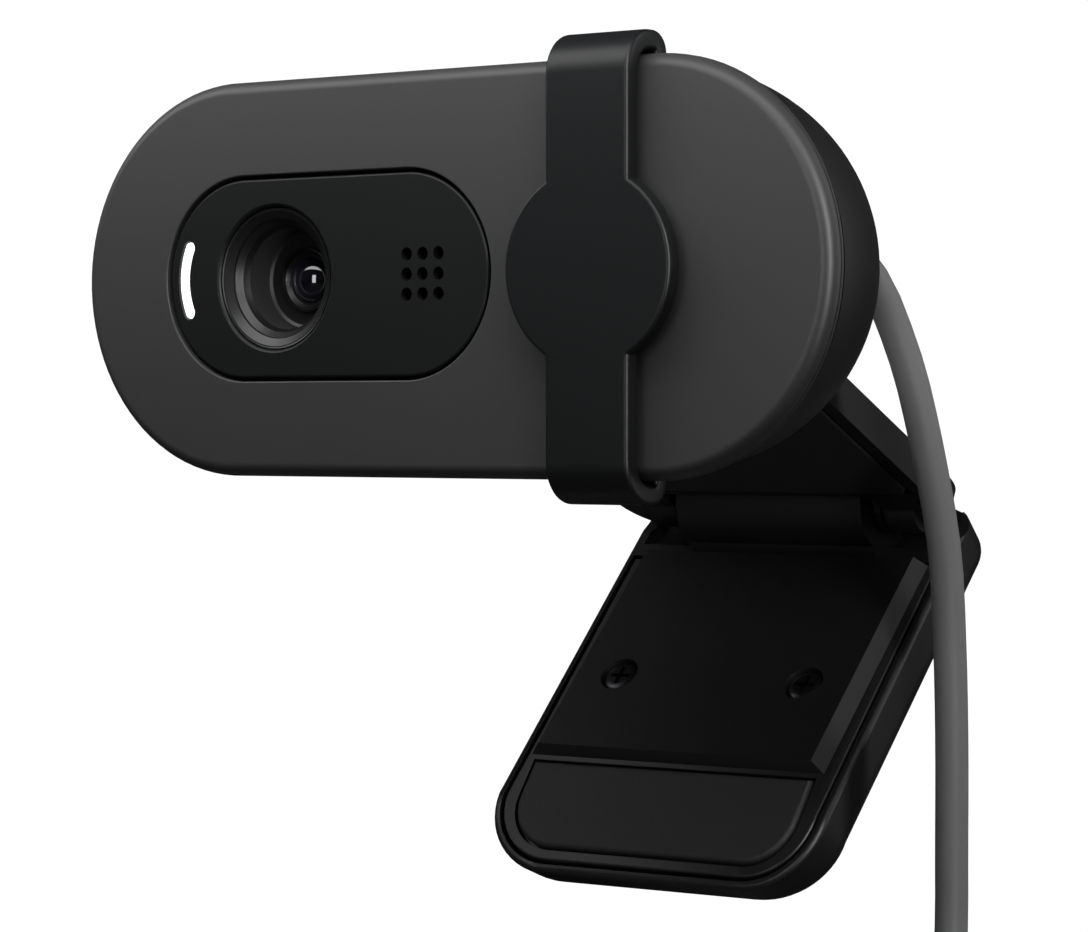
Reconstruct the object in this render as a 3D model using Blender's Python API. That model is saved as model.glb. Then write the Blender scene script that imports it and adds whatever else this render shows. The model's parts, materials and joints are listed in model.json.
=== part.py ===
"""Webcam on a folding monitor clip, with a privacy slider and a captive USB lead.

The head faces -Y and is centred on X.  Head pieces are modelled from the middle of the head's front
face, arm pieces from the tilt axis, leg pieces from the fold axis.  The world's origin is the middle of
the arm's grip pad, the face that rests on a monitor.
"""
import math

import bmesh
import bpy
from mathutils import Vector

MM = 0.001
GAP = 0.3 * MM                    # between two pieces that touch or fit

# ---- head ---------------------------------------------------------------------------------------
HEAD_WIDTH = 72.9 * MM
HEAD_HEIGHT = 31.9 * MM
FRONT_WALL = 1.5 * MM             # front shell: thickness of its face
FRONT_DEPTH = 1.6 * MM            # front shell: depth of its visible rim
FRONT_ROUND = 1.1 * MM
SPIGOT_DEPTH = 2.2 * MM           # front shell: lip that enters the rear cover
SPIGOT_WALL = 1.1 * MM
SEAM_STEP = 0.6 * MM              # the rear cover stands back from the front shell's outline
COVER_WALL = 1.5 * MM
COVER_STRAIGHT = 0.2 * MM         # rear cover: straight stretch before its dome
COVER_DOME = 13.7 * MM            # rear cover: depth of the dome
COVER_SHRINK = 8.6 * MM           # rear cover: how far the dome closes in
CHANNEL_DEPTH = 1.1 * MM          # groove that the slider's hooks run in
CHANNEL_WIDTH = 2.1 * MM

# ---- face insert and camera ---------------------------------------------------------------------
INSERT_WIDTH = 32.6 * MM
INSERT_HEIGHT = 16.0 * MM
INSERT_X = -10.8 * MM
INSERT_SET_BACK = 0.15 * MM
INSERT_FLANGE = 0.9 * MM          # how far its flange laps behind the front wall
FLANGE_THICK = 0.8 * MM
LENS_X = -16.1 * MM
HOOD_R = 5.6 * MM
HOOD_DEPTH = 3.3 * MM
HOOD_THROAT_R = 4.1 * MM
BARREL_R = 3.9 * MM
BARREL_LENGTH = 3.9 * MM
BARREL_BORE_R = 3.1 * MM
APERTURE_R = 2.3 * MM
FRONT_LENS_THICK = 1.1 * MM
REAR_LENS_THICK = 0.8 * MM
HOLDER_SIZE = 10.2 * MM
HOLDER_DEPTH = 3.9 * MM
SENSOR_SIZE = 5.0 * MM
SENSOR_THICK = 0.6 * MM
LED_ARC_R = 6.55 * MM             # middle of the light slit, about the insert's end centre
LED_WIDTH = 1.3 * MM
LED_HALF_ANGLE = math.radians(26)
LED_CHIP = (1.6 * MM, 0.7 * MM, 3.2 * MM)
MIC_X = -0.95 * MM
MIC_PITCH = 1.57 * MM
MIC_HOLE_R = 0.42 * MM
MIC_CHIP = (3.5 * MM, 1.0 * MM, 2.65 * MM)
GASKET_R = 3.2 * MM
GASKET_WALL = 0.8 * MM
BOARD_SIZE = (58 * MM, 19 * MM)
BOARD_THICK = 1.0 * MM
BOARD_CORNER_R = 5 * MM
POST_X = 22 * MM
POST_SPACING = 11 * MM
POST_R = 2.0 * MM
BOARD_SCREW_R = 0.7 * MM
BOARD_SCREW_HEAD_R = 1.5 * MM
BOARD_SCREW_HEAD = 0.8 * MM
BOARD_SCREW_BITE = 3.5 * MM

# ---- privacy slider -----------------------------------------------------------------------------
SLIDER_WIDTH = 7.6 * MM
SLIDER_END_MARGIN = 0.5 * MM      # open position: strap to the end of the head's straight edges
SLIDER_DISC_R = 7.6 * MM
SLIDER_THICK = 1.8 * MM
SLIDER_STRAP = 1.55 * MM          # thickness of the part over and under the head
SLIDER_CLEARANCE = 0.3 * MM
SLIDER_REACH = 3.3 * MM           # how far back its hooks end
SLIDER_LIP = 1.0 * MM             # length of the hook's lip, front to back
SLIDER_LIP_DROP = 0.75 * MM
SLIDER_ROUND = 3.0 * MM
SLIDER_TIP_R = 1.0 * MM

# ---- tilt hinge and arm -------------------------------------------------------------------------
TILT_OFF_BACK = 3.9 * MM
TILT_Z = -2.46 * MM
TILT_R = 3.1 * MM
TILT_BARREL_HALF = 5.0 * MM
TILT_LUG = 3.0 * MM
PIN_R = 1.0 * MM
WASHER = 0.7 * MM
WASHER_WALL = 1.3 * MM
ARM_SLOPE = math.radians(26.3)
ARM_LENGTH = 36.8 * MM            # tilt axis to fold axis
ARM_WIDTH = 34.0 * MM
ARM_THICK = 3.05 * MM
ARM_SHOULDER = 6.2 * MM           # where the arm reaches its full width
ARM_SHOULDER_R = 7.0 * MM
ARM_END = 3.4 * MM                # past the fold axis
ARM_END_R = 6.0 * MM
ARM_ROUND = 0.5 * MM
PAD_MARGIN = 1.6 * MM
PAD_FRONT = 9.0 * MM
PAD_THICK = 0.9 * MM
PAD_PROUD = 0.15 * MM
PAD_CORNER_R = 1.2 * MM

# ---- fold hinge and leg -------------------------------------------------------------------------
LEG_SLOPE = math.radians(45.8)    # the leg leans this far forward from straight down
KNUCKLE_HALF = 9.65 * MM
KNUCKLE_R = 4.2 * MM
LEG_LUG = 3.0 * MM
LEG_LUG_R = 2.5 * MM
SWEEP_GAP = 0.4 * MM              # around parts that turn past each other
LEG_WIDTH = 33.8 * MM
LEG_TOP = 2.6 * MM                # above the fold axis
LEG_REACH = 40.0 * MM             # below the fold axis, before its end is bent
LEG_FRONT = 2.6 * MM              # the shell's front rim, behind the fold axis
LEG_THICK = 5.45 * MM             # the shell, front rim to back
LEG_WALL = 1.4 * MM
LEG_RIM = 0.75 * MM
LEG_END_R = 7.0 * MM
LEG_TOP_R = 3.0 * MM
LEG_BACK_ROUND = 2.4 * MM
COVER_THICK = 1.35 * MM           # leg cover
COVER_TOP = 4.9 * MM              # leg cover: top edge, below the fold axis
PLATEAU_RISE = 1.1 * MM
PLATEAU_SLANT = 1.85 * MM
PLATEAU_TO_RUBBER = 0.5 * MM
RUBBER_MARGIN = 1.6 * MM
RUBBER_END_MARGIN = 1.2 * MM
RUBBER_LENGTH = 8.15 * MM
RUBBER_THICK = 0.9 * MM
RUBBER_CORNER_R = 4.4 * MM
RUBBER_PROUD = 0.3 * MM
BEND_LENGTH = 12.5 * MM           # the leg is straight down to this far from its end
BEND_TURN = math.radians(26)      # and its lower end turns this far towards upright
BEND_STRIPS = 5
LEG_SCREW_X = 9.55 * MM
LEG_SCREW_TO_BEND = 7.5 * MM
LEG_SCREW_R = 0.8 * MM
LEG_SCREW_HEAD_R = 1.5 * MM
LEG_SCREW_HEAD = 0.9 * MM
LEG_SCREW_SUNK = 0.35 * MM
LEG_SCREW_BITE = 2.6 * MM
BOSS_R = 2.2 * MM

# ---- lead and plug ------------------------------------------------------------------------------
CORD_R = 1.4 * MM
CORD_GAP = 1.5 * MM                # lead to strain relief, so that the head can tilt
EXIT_X = 21.0 * MM
EXIT_Z = 3.2 * MM
RELIEF_R = 2.5 * MM
RELIEF_FLANGE_R = 3.2 * MM
RELIEF_LENGTH = 6.8 * MM
RELIEF_TIP_R = 1.65 * MM
FLOOR_Z = -68.0 * MM              # the surface that the spare lead lies on
COIL_X = 2.0 * MM
COIL_Y = 14.0 * MM
COIL_MID_R = 15.5 * MM
COIL_HALF_WIDTH = 5.6 * MM
COIL_HEIGHT = 10.1 * MM
TIE_THICK = 0.6 * MM
TIE_WIDTH = 5.0 * MM
CONNECTOR = (7.6 * MM, 3.6 * MM, 4.4 * MM)
INNER_LEAD_R = 1.0 * MM
PLUG_X = -21.0 * MM
PLUG_Y = 30.6 * MM
PLUG_RELIEF = 7.0 * MM
GRIP = (15.6 * MM, 21.0 * MM, 7.6 * MM)
SHELL = (12.0 * MM, 12.4 * MM, 4.5 * MM)
SHELL_SHEET = 0.35 * MM
SHELL_ROOT = 3.0 * MM
TONGUE_THICK = 1.7 * MM

# ---- places that follow from the sizes ----------------------------------------------------------
RIM_Y = FRONT_DEPTH + GAP                                     # front edge of the rear cover
DOME_Y = RIM_Y + COVER_STRAIGHT
BACK_Y = DOME_Y + COVER_DOME                                  # back of the rear cover
TILT_Y = BACK_Y + TILT_OFF_BACK
INNER_Y = BACK_Y - COVER_WALL
INSERT_BACK = FRONT_WALL + GAP + FLANGE_THICK
BARREL_Y = HOOD_DEPTH + GAP
HOLDER_Y = BARREL_Y + 1.6 * MM
BOARD_Y = HOLDER_Y + HOLDER_DEPTH + GAP
LED_CENTRE_X = INSERT_X - (INSERT_WIDTH - INSERT_HEIGHT) / 2
WASHER_R = PIN_R + GAP + WASHER_WALL
TILT_LUG_X = TILT_BARREL_HALF + WASHER + 2 * GAP
LEG_LUG_X = KNUCKLE_HALF + WASHER + 2 * GAP
ARM_HALF = ARM_THICK / 2
PAD_BACK = ARM_LENGTH - KNUCKLE_R - SWEEP_GAP
PAD_FACE = ARM_HALF + PAD_PROUD
PAD_MIDDLE = (PAD_FRONT + PAD_BACK) / 2
LEG_BACK = LEG_FRONT + LEG_THICK
COVER_HALF = LEG_WIDTH / 2 - LEG_RIM - GAP
COVER_END = LEG_REACH - LEG_RIM - GAP
RUBBER_TOP = COVER_END - RUBBER_END_MARGIN - RUBBER_LENGTH
PLATEAU_END = RUBBER_TOP - PLATEAU_TO_RUBBER
BEND_START = LEG_REACH - BEND_LENGTH
LEG_SCREW_DROP = BEND_START - LEG_SCREW_TO_BEND
SLIDER_X = (HEAD_WIDTH - HEAD_HEIGHT) / 2 - SLIDER_WIDTH / 2 - SLIDER_END_MARGIN
COIL_Z = FLOOR_Z + TIE_THICK + GAP

# The route of the lead, in the head's frame: out of the strain relief, down beside the arm and the
# leg, and along the surface to the coil; then from the coil to the plug.
HANG = [(21.0, 0.0, 3.15), (21.05, 1.8, 3.0), (21.15, 4.4, 1.8), (21.4, 6.65, -0.02), (21.75, 8.5, -2.4),
        (22.2, 9.8, -5.3), (22.75, 10.8, -8.4), (23.25, 12.9, -15.2), (23.45, 14.9, -22.4),
        (23.35, 15.9, -29.8), (23.45, 16.1, -38.0), (23.45, 16.1, -47.0), (23.5, 15.9, -54.5),
        (23.6, 14.4, -60.2), (23.5, 10.6, -64.6), (23.4, 5.8, -66.4), (23.2, 2.0, -66.5),
        (23.0, -1.0, -66.5)]
TAIL = [(-19.6, 22.4, -60.4), (-20.6, 24.9, -62.3), (-21.0, 27.5, -63.7), (-21.0, 30.3, -64.2)]

MATERIALS = {}


# ---- scene, materials and meshes ----------------------------------------------------------------
def clear_scene():
    for obj in list(bpy.data.objects):
        bpy.data.objects.remove(obj, do_unlink=True)


def material(name, colour, roughness, metallic=0.0):
    """One Principled material for each finish."""
    if name not in MATERIALS:
        finish = bpy.data.materials.new(name)
        finish.use_nodes = True
        shader = finish.node_tree.nodes["Principled BSDF"]
        shader.inputs["Base Color"].default_value = (*colour, 1.0)
        shader.inputs["Roughness"].default_value = roughness
        shader.inputs["Metallic"].default_value = metallic
        MATERIALS[name] = finish
    return MATERIALS[name]


def graphite():
    return material("graphite_plastic", (0.075, 0.075, 0.08), 0.5)


def black():
    return material("black_plastic", (0.016, 0.016, 0.018), 0.45)


def rubber():
    return material("black_rubber", (0.02, 0.02, 0.022), 0.75)


def steel():
    return material("steel", (0.55, 0.55, 0.56), 0.3, 1.0)


def glass():
    return material("lens_glass", (0.03, 0.04, 0.08), 0.05)


def frame_at(name, parent, place, turn=0.0):
    """An empty on a joint's axis, turned about X."""
    empty = bpy.data.objects.new(name, None)
    bpy.context.scene.collection.objects.link(empty)
    empty.location = place
    empty.rotation_euler = (turn, 0.0, 0.0)
    empty.parent = parent
    return empty


def mesh_object(name, points, faces, finish, parent):
    mesh = bpy.data.meshes.new(name)
    mesh.from_pydata([tuple(p) for p in points], [], faces)
    mesh.validate()
    mesh.shade_smooth()
    mesh.set_sharp_from_angle(angle=math.radians(35))
    obj = bpy.data.objects.new(name, mesh)
    bpy.context.scene.collection.objects.link(obj)
    obj.parent = parent
    if finish:
        mesh.materials.append(finish)
    return obj


def volume(points, faces):
    """Six times the signed volume, to see which way the faces point."""
    total = 0.0
    for face in faces:
        a = Vector(points[face[0]])
        for i in range(1, len(face) - 1):
            total += a.dot(Vector(points[face[i]]).cross(Vector(points[face[i + 1]])))
    return total


def loft(name, rings, finish, parent, closed=False):
    """A solid through rings of equal count: end caps, or joined end to start where closed."""
    count = len(rings[0])
    points = [p for ring in rings for p in ring]
    faces = []
    pairs = len(rings) if closed else len(rings) - 1
    for r in range(pairs):
        here = r * count
        there = ((r + 1) % len(rings)) * count
        for i in range(count):
            j = (i + 1) % count
            faces.append((here + i, here + j, there + j, there + i))
    if not closed:
        faces.append(tuple(range(count))[::-1])
        faces.append(tuple(range(len(points) - count, len(points))))
    if volume(points, faces) < 0:
        faces = [face[::-1] for face in faces]
    return mesh_object(name, points, faces, finish, parent)


def modify(obj, tool, operation):
    """A Boolean whose tool stays in the file as a guide."""
    tool.hide_render = True
    tool.display_type = "WIRE"
    change = obj.modifiers.new(operation.lower(), "BOOLEAN")
    change.operation = operation
    change.solver = "EXACT"
    change.object = tool


def cut(obj, *tools):
    for tool in tools:
        modify(obj, tool, "DIFFERENCE")


def join(obj, *tools):
    for tool in tools:
        modify(obj, tool, "UNION")


# ---- outlines -----------------------------------------------------------------------------------
def corner(cx, cy, radius, start, steps):
    """A quarter circle from the angle start, counter-clockwise."""
    turns = [start + math.pi / 2 * i / steps for i in range(steps + 1)]
    return [(cx + radius * math.cos(t), cy + radius * math.sin(t)) for t in turns]


def rounded(x0, x1, y0, y1, r_low, r_high=None, inset=0.0, steps=8):
    """A rectangle with round corners, r_low at y0 and r_high at y1, drawn in by inset."""
    r_high = r_low if r_high is None else r_high
    low = max(r_low - inset, 0.02 * MM)
    high = max(r_high - inset, 0.02 * MM)
    x0, x1, y0, y1 = x0 + inset, x1 - inset, y0 + inset, y1 - inset
    return (corner(x1 - high, y1 - high, high, 0, steps)
            + corner(x0 + high, y1 - high, high, math.pi / 2, steps)
            + corner(x0 + low, y0 + low, low, math.pi, steps)
            + corner(x1 - low, y0 + low, low, 3 * math.pi / 2, steps))


def pill(width, height, middle=0.0, inset=0.0, steps=14):
    return rounded(middle - width / 2, middle + width / 2, -height / 2, height / 2,
                   height / 2 - 0.01 * MM, inset=inset, steps=steps)


def in_xz(outline, y):
    return [Vector((a, y, b)) for a, b in outline]


def in_xy(outline, z):
    return [Vector((a, b, z)) for a, b in outline]


def in_yz(outline, x):
    return [Vector((x, a, b)) for a, b in outline]


def arc_insets(radius, steps=4):
    """(depth, inset) pairs round a convex edge, from the face to the side."""
    turns = [math.pi / 2 * i / steps for i in range(steps + 1)]
    return [(radius * (1 - math.cos(t)), radius * (1 - math.sin(t))) for t in turns]


def slab(name, shape, place, low, high, finish, parent, r_low=0.0, r_high=0.0, steps=3):
    """An outline carried from low to high with rounded edges; shape(inset) draws it."""
    rings = []
    if r_low:
        rings += [place(shape(inset), low + depth) for depth, inset in arc_insets(r_low, steps)]
    else:
        rings.append(place(shape(0.0), low))
    if r_high:
        rings += [place(shape(inset), high - depth) for depth, inset in arc_insets(r_high, steps)[::-1]]
    else:
        rings.append(place(shape(0.0), high))
    return loft(name, rings, finish, parent)


def block(name, x0, x1, y0, y1, z0, z1, finish=None, parent=None):
    outline = [(x0, y0), (x1, y0), (x1, y1), (x0, y1)]
    return loft(name, [in_xy(outline, z0), in_xy(outline, z1)], finish, parent)


def circle(cx, cy, radius, steps):
    turns = [2 * math.pi * i / steps for i in range(steps)]
    return [(cx + radius * math.cos(t), cy + radius * math.sin(t)) for t in turns]


def turned_y(name, profile, x, z, finish, parent, closed=False, steps=24):
    """A solid turned about a line along Y; profile holds (y, radius)."""
    rings = [in_xz(circle(x, z, radius, steps), y) for y, radius in profile]
    return loft(name, rings, finish, parent, closed)


def rod_x(name, radius, x0, x1, y, z, finish=None, parent=None, steps=24):
    """A round bar along X."""
    return loft(name, [in_yz(circle(y, z, radius, steps), x) for x in (x0, x1)], finish, parent)


def tube_x(name, radius, bore, x0, x1, y, z, finish, parent, steps=24):
    """A washer or a bush along X."""
    sides = [(x0, radius), (x1, radius), (x1, bore), (x0, bore)]
    rings = [in_yz(circle(y, z, r, steps), x) for x, r in sides]
    return loft(name, rings, finish, parent, closed=True)


def cord(name, points, radius, finish, parent, spacing):
    """A round cord on a poly spline read from a smooth curve through the points, in millimetres."""
    route = [Vector(p) * MM for p in points]
    route = [2 * route[0] - route[1]] + route + [2 * route[-1] - route[-2]]
    fine = []
    for i in range(1, len(route) - 2):
        a, b, c, d = route[i - 1:i + 3]
        for k in range(24):
            t = k / 24
            fine.append(0.5 * (2 * b + (c - a) * t + (2 * a - 5 * b + 4 * c - d) * t * t
                               + (3 * b - a - 3 * c + d) * t ** 3))
    fine.append(route[-2])
    kept = [fine[0]]
    for p in fine[1:-1]:
        if (p - kept[-1]).length >= spacing and (p - fine[-1]).length > spacing * 0.6:
            kept.append(p)
    kept.append(fine[-1])
    curve = bpy.data.curves.new(name, "CURVE")
    curve.dimensions = "3D"
    curve.bevel_depth = radius
    curve.bevel_resolution = 2
    curve.use_fill_caps = True
    spline = curve.splines.new("POLY")
    spline.points.add(len(kept) - 1)
    for point, place in zip(spline.points, kept):
        point.co = (*place, 1.0)
    curve.materials.append(finish)
    obj = bpy.data.objects.new(name, curve)
    bpy.context.scene.collection.objects.link(obj)
    obj.parent = parent
    return obj


# ---- head ---------------------------------------------------------------------------------------
def head_pill(inset):
    return pill(HEAD_WIDTH, HEAD_HEIGHT, inset=inset)


def insert_pill(inset):
    return pill(INSERT_WIDTH, INSERT_HEIGHT, INSERT_X, inset=inset, steps=12)


def make_front_shell(head):
    """The graphite face: a thin dished shell with a lip that plugs into the rear cover."""
    lip = SEAM_STEP + COVER_WALL + GAP
    rings = [in_xz(head_pill(inset), depth) for depth, inset in arc_insets(FRONT_ROUND, 5)]
    rings.append(in_xz(head_pill(0.0), FRONT_DEPTH))
    rings.append(in_xz(head_pill(lip), FRONT_DEPTH))
    rings.append(in_xz(head_pill(lip), FRONT_DEPTH + SPIGOT_DEPTH))
    rings.append(in_xz(head_pill(lip + SPIGOT_WALL), FRONT_DEPTH + SPIGOT_DEPTH))
    rings.append(in_xz(head_pill(lip + SPIGOT_WALL), FRONT_WALL))
    shell = loft("front_shell", rings, graphite(), head)
    for side, sign in (("upper", 1), ("lower", -1)):
        z = sign * POST_SPACING / 2
        end = BOARD_Y - GAP
        post = turned_y(f"guide_post_{side}", [(FRONT_WALL / 2, POST_R), (end, POST_R)], POST_X, z, None, head, steps=16)
        hole = [(end - BOARD_SCREW_BITE - GAP, BOARD_SCREW_R + GAP), (end + MM, BOARD_SCREW_R + GAP)]
        join(shell, post)
        cut(shell, turned_y(f"guide_post_hole_{side}", hole, POST_X, z, None, head, steps=12))
    opening = [in_xz(insert_pill(-GAP), -MM), in_xz(insert_pill(-GAP), INSERT_BACK)]
    cut(shell, loft("guide_insert_opening", opening, None, head))
    return shell


def make_face_insert(head):
    """The black pill plate round the camera, trapped behind the front wall by its flange."""
    back = FRONT_WALL + GAP
    rings = [in_xz(insert_pill(0.25 * MM), INSERT_SET_BACK), in_xz(insert_pill(0.0), INSERT_SET_BACK + 0.2 * MM),
             in_xz(insert_pill(0.0), back), in_xz(insert_pill(-INSERT_FLANGE), back),
             in_xz(insert_pill(-INSERT_FLANGE), INSERT_BACK)]
    plate = loft("face_insert", rings, black(), head)
    through = [(-MM, 1.0), (INSERT_BACK + MM, 1.0)]
    hood_hole = [(y, HOOD_R + GAP) for y, _ in through]
    cut(plate, turned_y("guide_hood_hole", hood_hole, LENS_X, 0.0, None, head, steps=32))
    slit = [in_xz(led_slit(GAP), y) for y, _ in through]
    cut(plate, loft("guide_led_slit", slit, None, head))
    for column in range(3):
        for row in range(3):
            hole = [(y, MIC_HOLE_R) for y, _ in through]
            x, z = MIC_X + (column - 1) * MIC_PITCH, (row - 1) * MIC_PITCH
            cut(plate, turned_y(f"guide_mic_hole_{column}{row}", hole, x, z, None, head, steps=10))


def led_slit(grow):
    """A curved slot about the insert's end centre, with round ends."""
    half = LED_WIDTH / 2 + grow
    outer, inner, tips = [], [], []
    for i in range(9):
        turn = math.pi + LED_HALF_ANGLE * (2 * i / 8 - 1)
        direction = (math.cos(turn), math.sin(turn))
        outer.append((LED_CENTRE_X + (LED_ARC_R + half) * direction[0], (LED_ARC_R + half) * direction[1]))
        inner.append((LED_CENTRE_X + (LED_ARC_R - half) * direction[0], (LED_ARC_R - half) * direction[1]))
    for sign in (1, -1):
        turn = math.pi + sign * LED_HALF_ANGLE
        cx, cz = LED_CENTRE_X + LED_ARC_R * math.cos(turn), LED_ARC_R * math.sin(turn)
        start = turn if sign > 0 else turn + math.pi
        tips.append([(cx + half * math.cos(start + math.pi * k / 6), cz + half * math.sin(start + math.pi * k / 6))
                     for k in range(1, 6)])
    return outer + tips[0] + inner[::-1] + tips[1]


def make_camera(head):
    """Hood, lens barrel with two lenses, and the holder round the sensor."""
    y = INSERT_SET_BACK
    step = (HOOD_R - 0.3 * MM - HOOD_THROAT_R) / 3
    hood = [(y, HOOD_R), (HOOD_DEPTH, HOOD_R), (HOOD_DEPTH, HOOD_THROAT_R)]
    for k in (1, 2):
        depth = HOOD_DEPTH - k * (HOOD_DEPTH - y) / 3
        hood += [(depth, HOOD_THROAT_R + (k - 0.6) * step), (depth, HOOD_THROAT_R + k * step)]
    hood.append((y, HOOD_R - 0.3 * MM))
    turned_y("lens_hood", hood, LENS_X, 0.0, black(), head, closed=True, steps=32)
    end = BARREL_Y + BARREL_LENGTH
    barrel = [(BARREL_Y, APERTURE_R + 0.9 * MM), (BARREL_Y, BARREL_R), (end, BARREL_R), (end, BARREL_BORE_R),
              (BARREL_Y + 0.7 * MM, BARREL_BORE_R), (BARREL_Y + 0.7 * MM, APERTURE_R)]
    turned_y("lens_barrel", barrel, LENS_X, 0.0, black(), head, closed=True, steps=32)
    front = BARREL_Y + 0.7 * MM + GAP
    r = BARREL_BORE_R - GAP
    dome = [(front, 0.25 * r), (front + 0.1 * MM, 0.6 * r), (front + 0.3 * MM, r), (front + FRONT_LENS_THICK, r)]
    turned_y("front_lens", dome, LENS_X, 0.0, glass(), head)
    rear = front + FRONT_LENS_THICK + GAP
    disc = [(rear, r), (rear + REAR_LENS_THICK * 0.6, r), (rear + REAR_LENS_THICK, 0.5 * r)]
    turned_y("rear_lens", disc, LENS_X, 0.0, glass(), head)
    half = HOLDER_SIZE / 2
    finish = HOLDER_Y + HOLDER_DEPTH
    holder = block("lens_holder", LENS_X - half, LENS_X + half, HOLDER_Y, finish, -half, half, black(), head)
    bore = [(HOLDER_Y - MM, BARREL_R + GAP), (end + GAP, BARREL_R + GAP), (end + GAP, SENSOR_SIZE * 0.62),
            (finish + MM, SENSOR_SIZE * 0.62 + 2 * GAP)]
    cut(holder, turned_y("guide_holder_bore", bore, LENS_X, 0.0, None, head, steps=28))
    s = SENSOR_SIZE / 2 - 0.4 * MM
    silicon = material("sensor_silicon", (0.05, 0.06, 0.07), 0.25)
    block("image_sensor", LENS_X - s, LENS_X + s, finish - SENSOR_THICK, finish, -s, s, silicon, head)


def make_electronics(head):
    """The board with what is soldered on it, the light pipe and the microphone's gasket."""
    w, h = BOARD_SIZE
    green = material("circuit_board", (0.02, 0.12, 0.06), 0.5)
    chip = material("chip_black", (0.03, 0.03, 0.03), 0.4)
    board = slab("main_board", lambda i: rounded(-w / 2, w / 2, -h / 2, h / 2, BOARD_CORNER_R, inset=i, steps=5),
                 in_xz, BOARD_Y, BOARD_Y + BOARD_THICK, green, head)
    front = BOARD_Y - GAP
    for side, sign in (("upper", 1), ("lower", -1)):
        z = sign * POST_SPACING / 2
        hole = [(BOARD_Y - MM, BOARD_SCREW_R + GAP), (BOARD_Y + BOARD_THICK + MM, BOARD_SCREW_R + GAP)]
        cut(board, turned_y(f"guide_board_hole_{side}", hole, POST_X, z, None, head, steps=12))
        seat = BOARD_Y + BOARD_THICK + GAP
        screw = [(front - BOARD_SCREW_BITE, BOARD_SCREW_R), (seat, BOARD_SCREW_R), (seat, BOARD_SCREW_HEAD_R),
                 (seat + BOARD_SCREW_HEAD, BOARD_SCREW_HEAD_R * 0.8)]
        turned_y(f"board_screw_{side}", screw, POST_X, z, steel(), head, steps=16)
    white = material("light_pipe_white", (0.9, 0.92, 0.95), 0.3)
    lx, ly, lz = LED_CHIP
    led_x = LED_CENTRE_X - LED_ARC_R
    pipe_end = front - ly - GAP
    loft("led_light_pipe", [in_xz(led_slit(0.0), INSERT_SET_BACK), in_xz(led_slit(0.0), pipe_end)], white, head)
    block("status_led", led_x - lx / 2, led_x + lx / 2, front - ly, front, -lz / 2, lz / 2, white, head)
    mx, my, mz = MIC_CHIP
    block("microphone", MIC_X - mx / 2, MIC_X + mx / 2, front - my, front, -mz / 2, mz / 2, steel(), head)
    a, b = INSERT_BACK + GAP, front - my - GAP
    ring = [(a, GASKET_R), (b, GASKET_R * 0.85), (b, GASKET_R * 0.85 - GASKET_WALL), (a, GASKET_R - GASKET_WALL)]
    turned_y("mic_gasket", ring, MIC_X, 0.0, rubber(), head, closed=True)


def make_rear_cover(head):
    """The domed black back, with a groove for the slider's hooks, a lead hole and two hinge lugs."""
    outer = [(RIM_Y, 0.0), (DOME_Y, 0.0)]
    inner = [(RIM_Y, COVER_WALL), (DOME_Y, COVER_WALL)]
    for k in range(1, 11):
        turn = math.pi / 2 * k / 10
        drawn = COVER_SHRINK * (1 - math.cos(turn))
        outer.append((DOME_Y + COVER_DOME * math.sin(turn), drawn))
        inner.append((DOME_Y + (COVER_DOME - COVER_WALL) * math.sin(turn), COVER_WALL + drawn))
    path = outer[::-1] + inner
    rings = [in_xz(head_pill(SEAM_STEP + inset), y) for y, inset in path]
    cover = loft("rear_cover", rings, black(), head)
    reach = (HEAD_WIDTH - HEAD_HEIGHT) / 2
    for side, sign in (("top", 1), ("bottom", -1)):
        floor = sign * (HEAD_HEIGHT / 2 - CHANNEL_DEPTH - SEAM_STEP)
        z0, z1 = sorted((floor, sign * HEAD_HEIGHT))
        cut(cover, block(f"guide_channel_{side}", -reach, reach, 0.0, RIM_Y + CHANNEL_WIDTH, z0, z1, None, head))
    for side, sign in (("left", -1), ("right", 1)):
        x0, x1 = sorted((sign * TILT_LUG_X, sign * (TILT_LUG_X + TILT_LUG)))
        outline = [(TILT_Y + a, TILT_Z + b) for a, b in circle(0, 0, TILT_R, 24) if a >= -TILT_R * 0.01]
        outline.sort(key=lambda p: math.atan2(p[1] - TILT_Z, p[0] - TILT_Y))
        root = BACK_Y - COVER_WALL / 2
        outline += [(root, TILT_Z + TILT_R), (root, TILT_Z - TILT_R)]
        join(cover, loft(f"guide_tilt_lug_{side}", [in_yz(outline, x0), in_yz(outline, x1)], None, head))
    far = TILT_LUG_X + TILT_LUG - 0.8 * MM
    cut(cover, rod_x("guide_tilt_bore", PIN_R + GAP, -far, far, TILT_Y, TILT_Z, None, head, steps=16))
    hole = [(INNER_Y - 2 * MM, RELIEF_R + GAP), (BACK_Y + MM, RELIEF_R + GAP)]
    cut(cover, turned_y("guide_lead_hole", hole, EXIT_X, EXIT_Z, None, head, steps=24))


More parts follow.
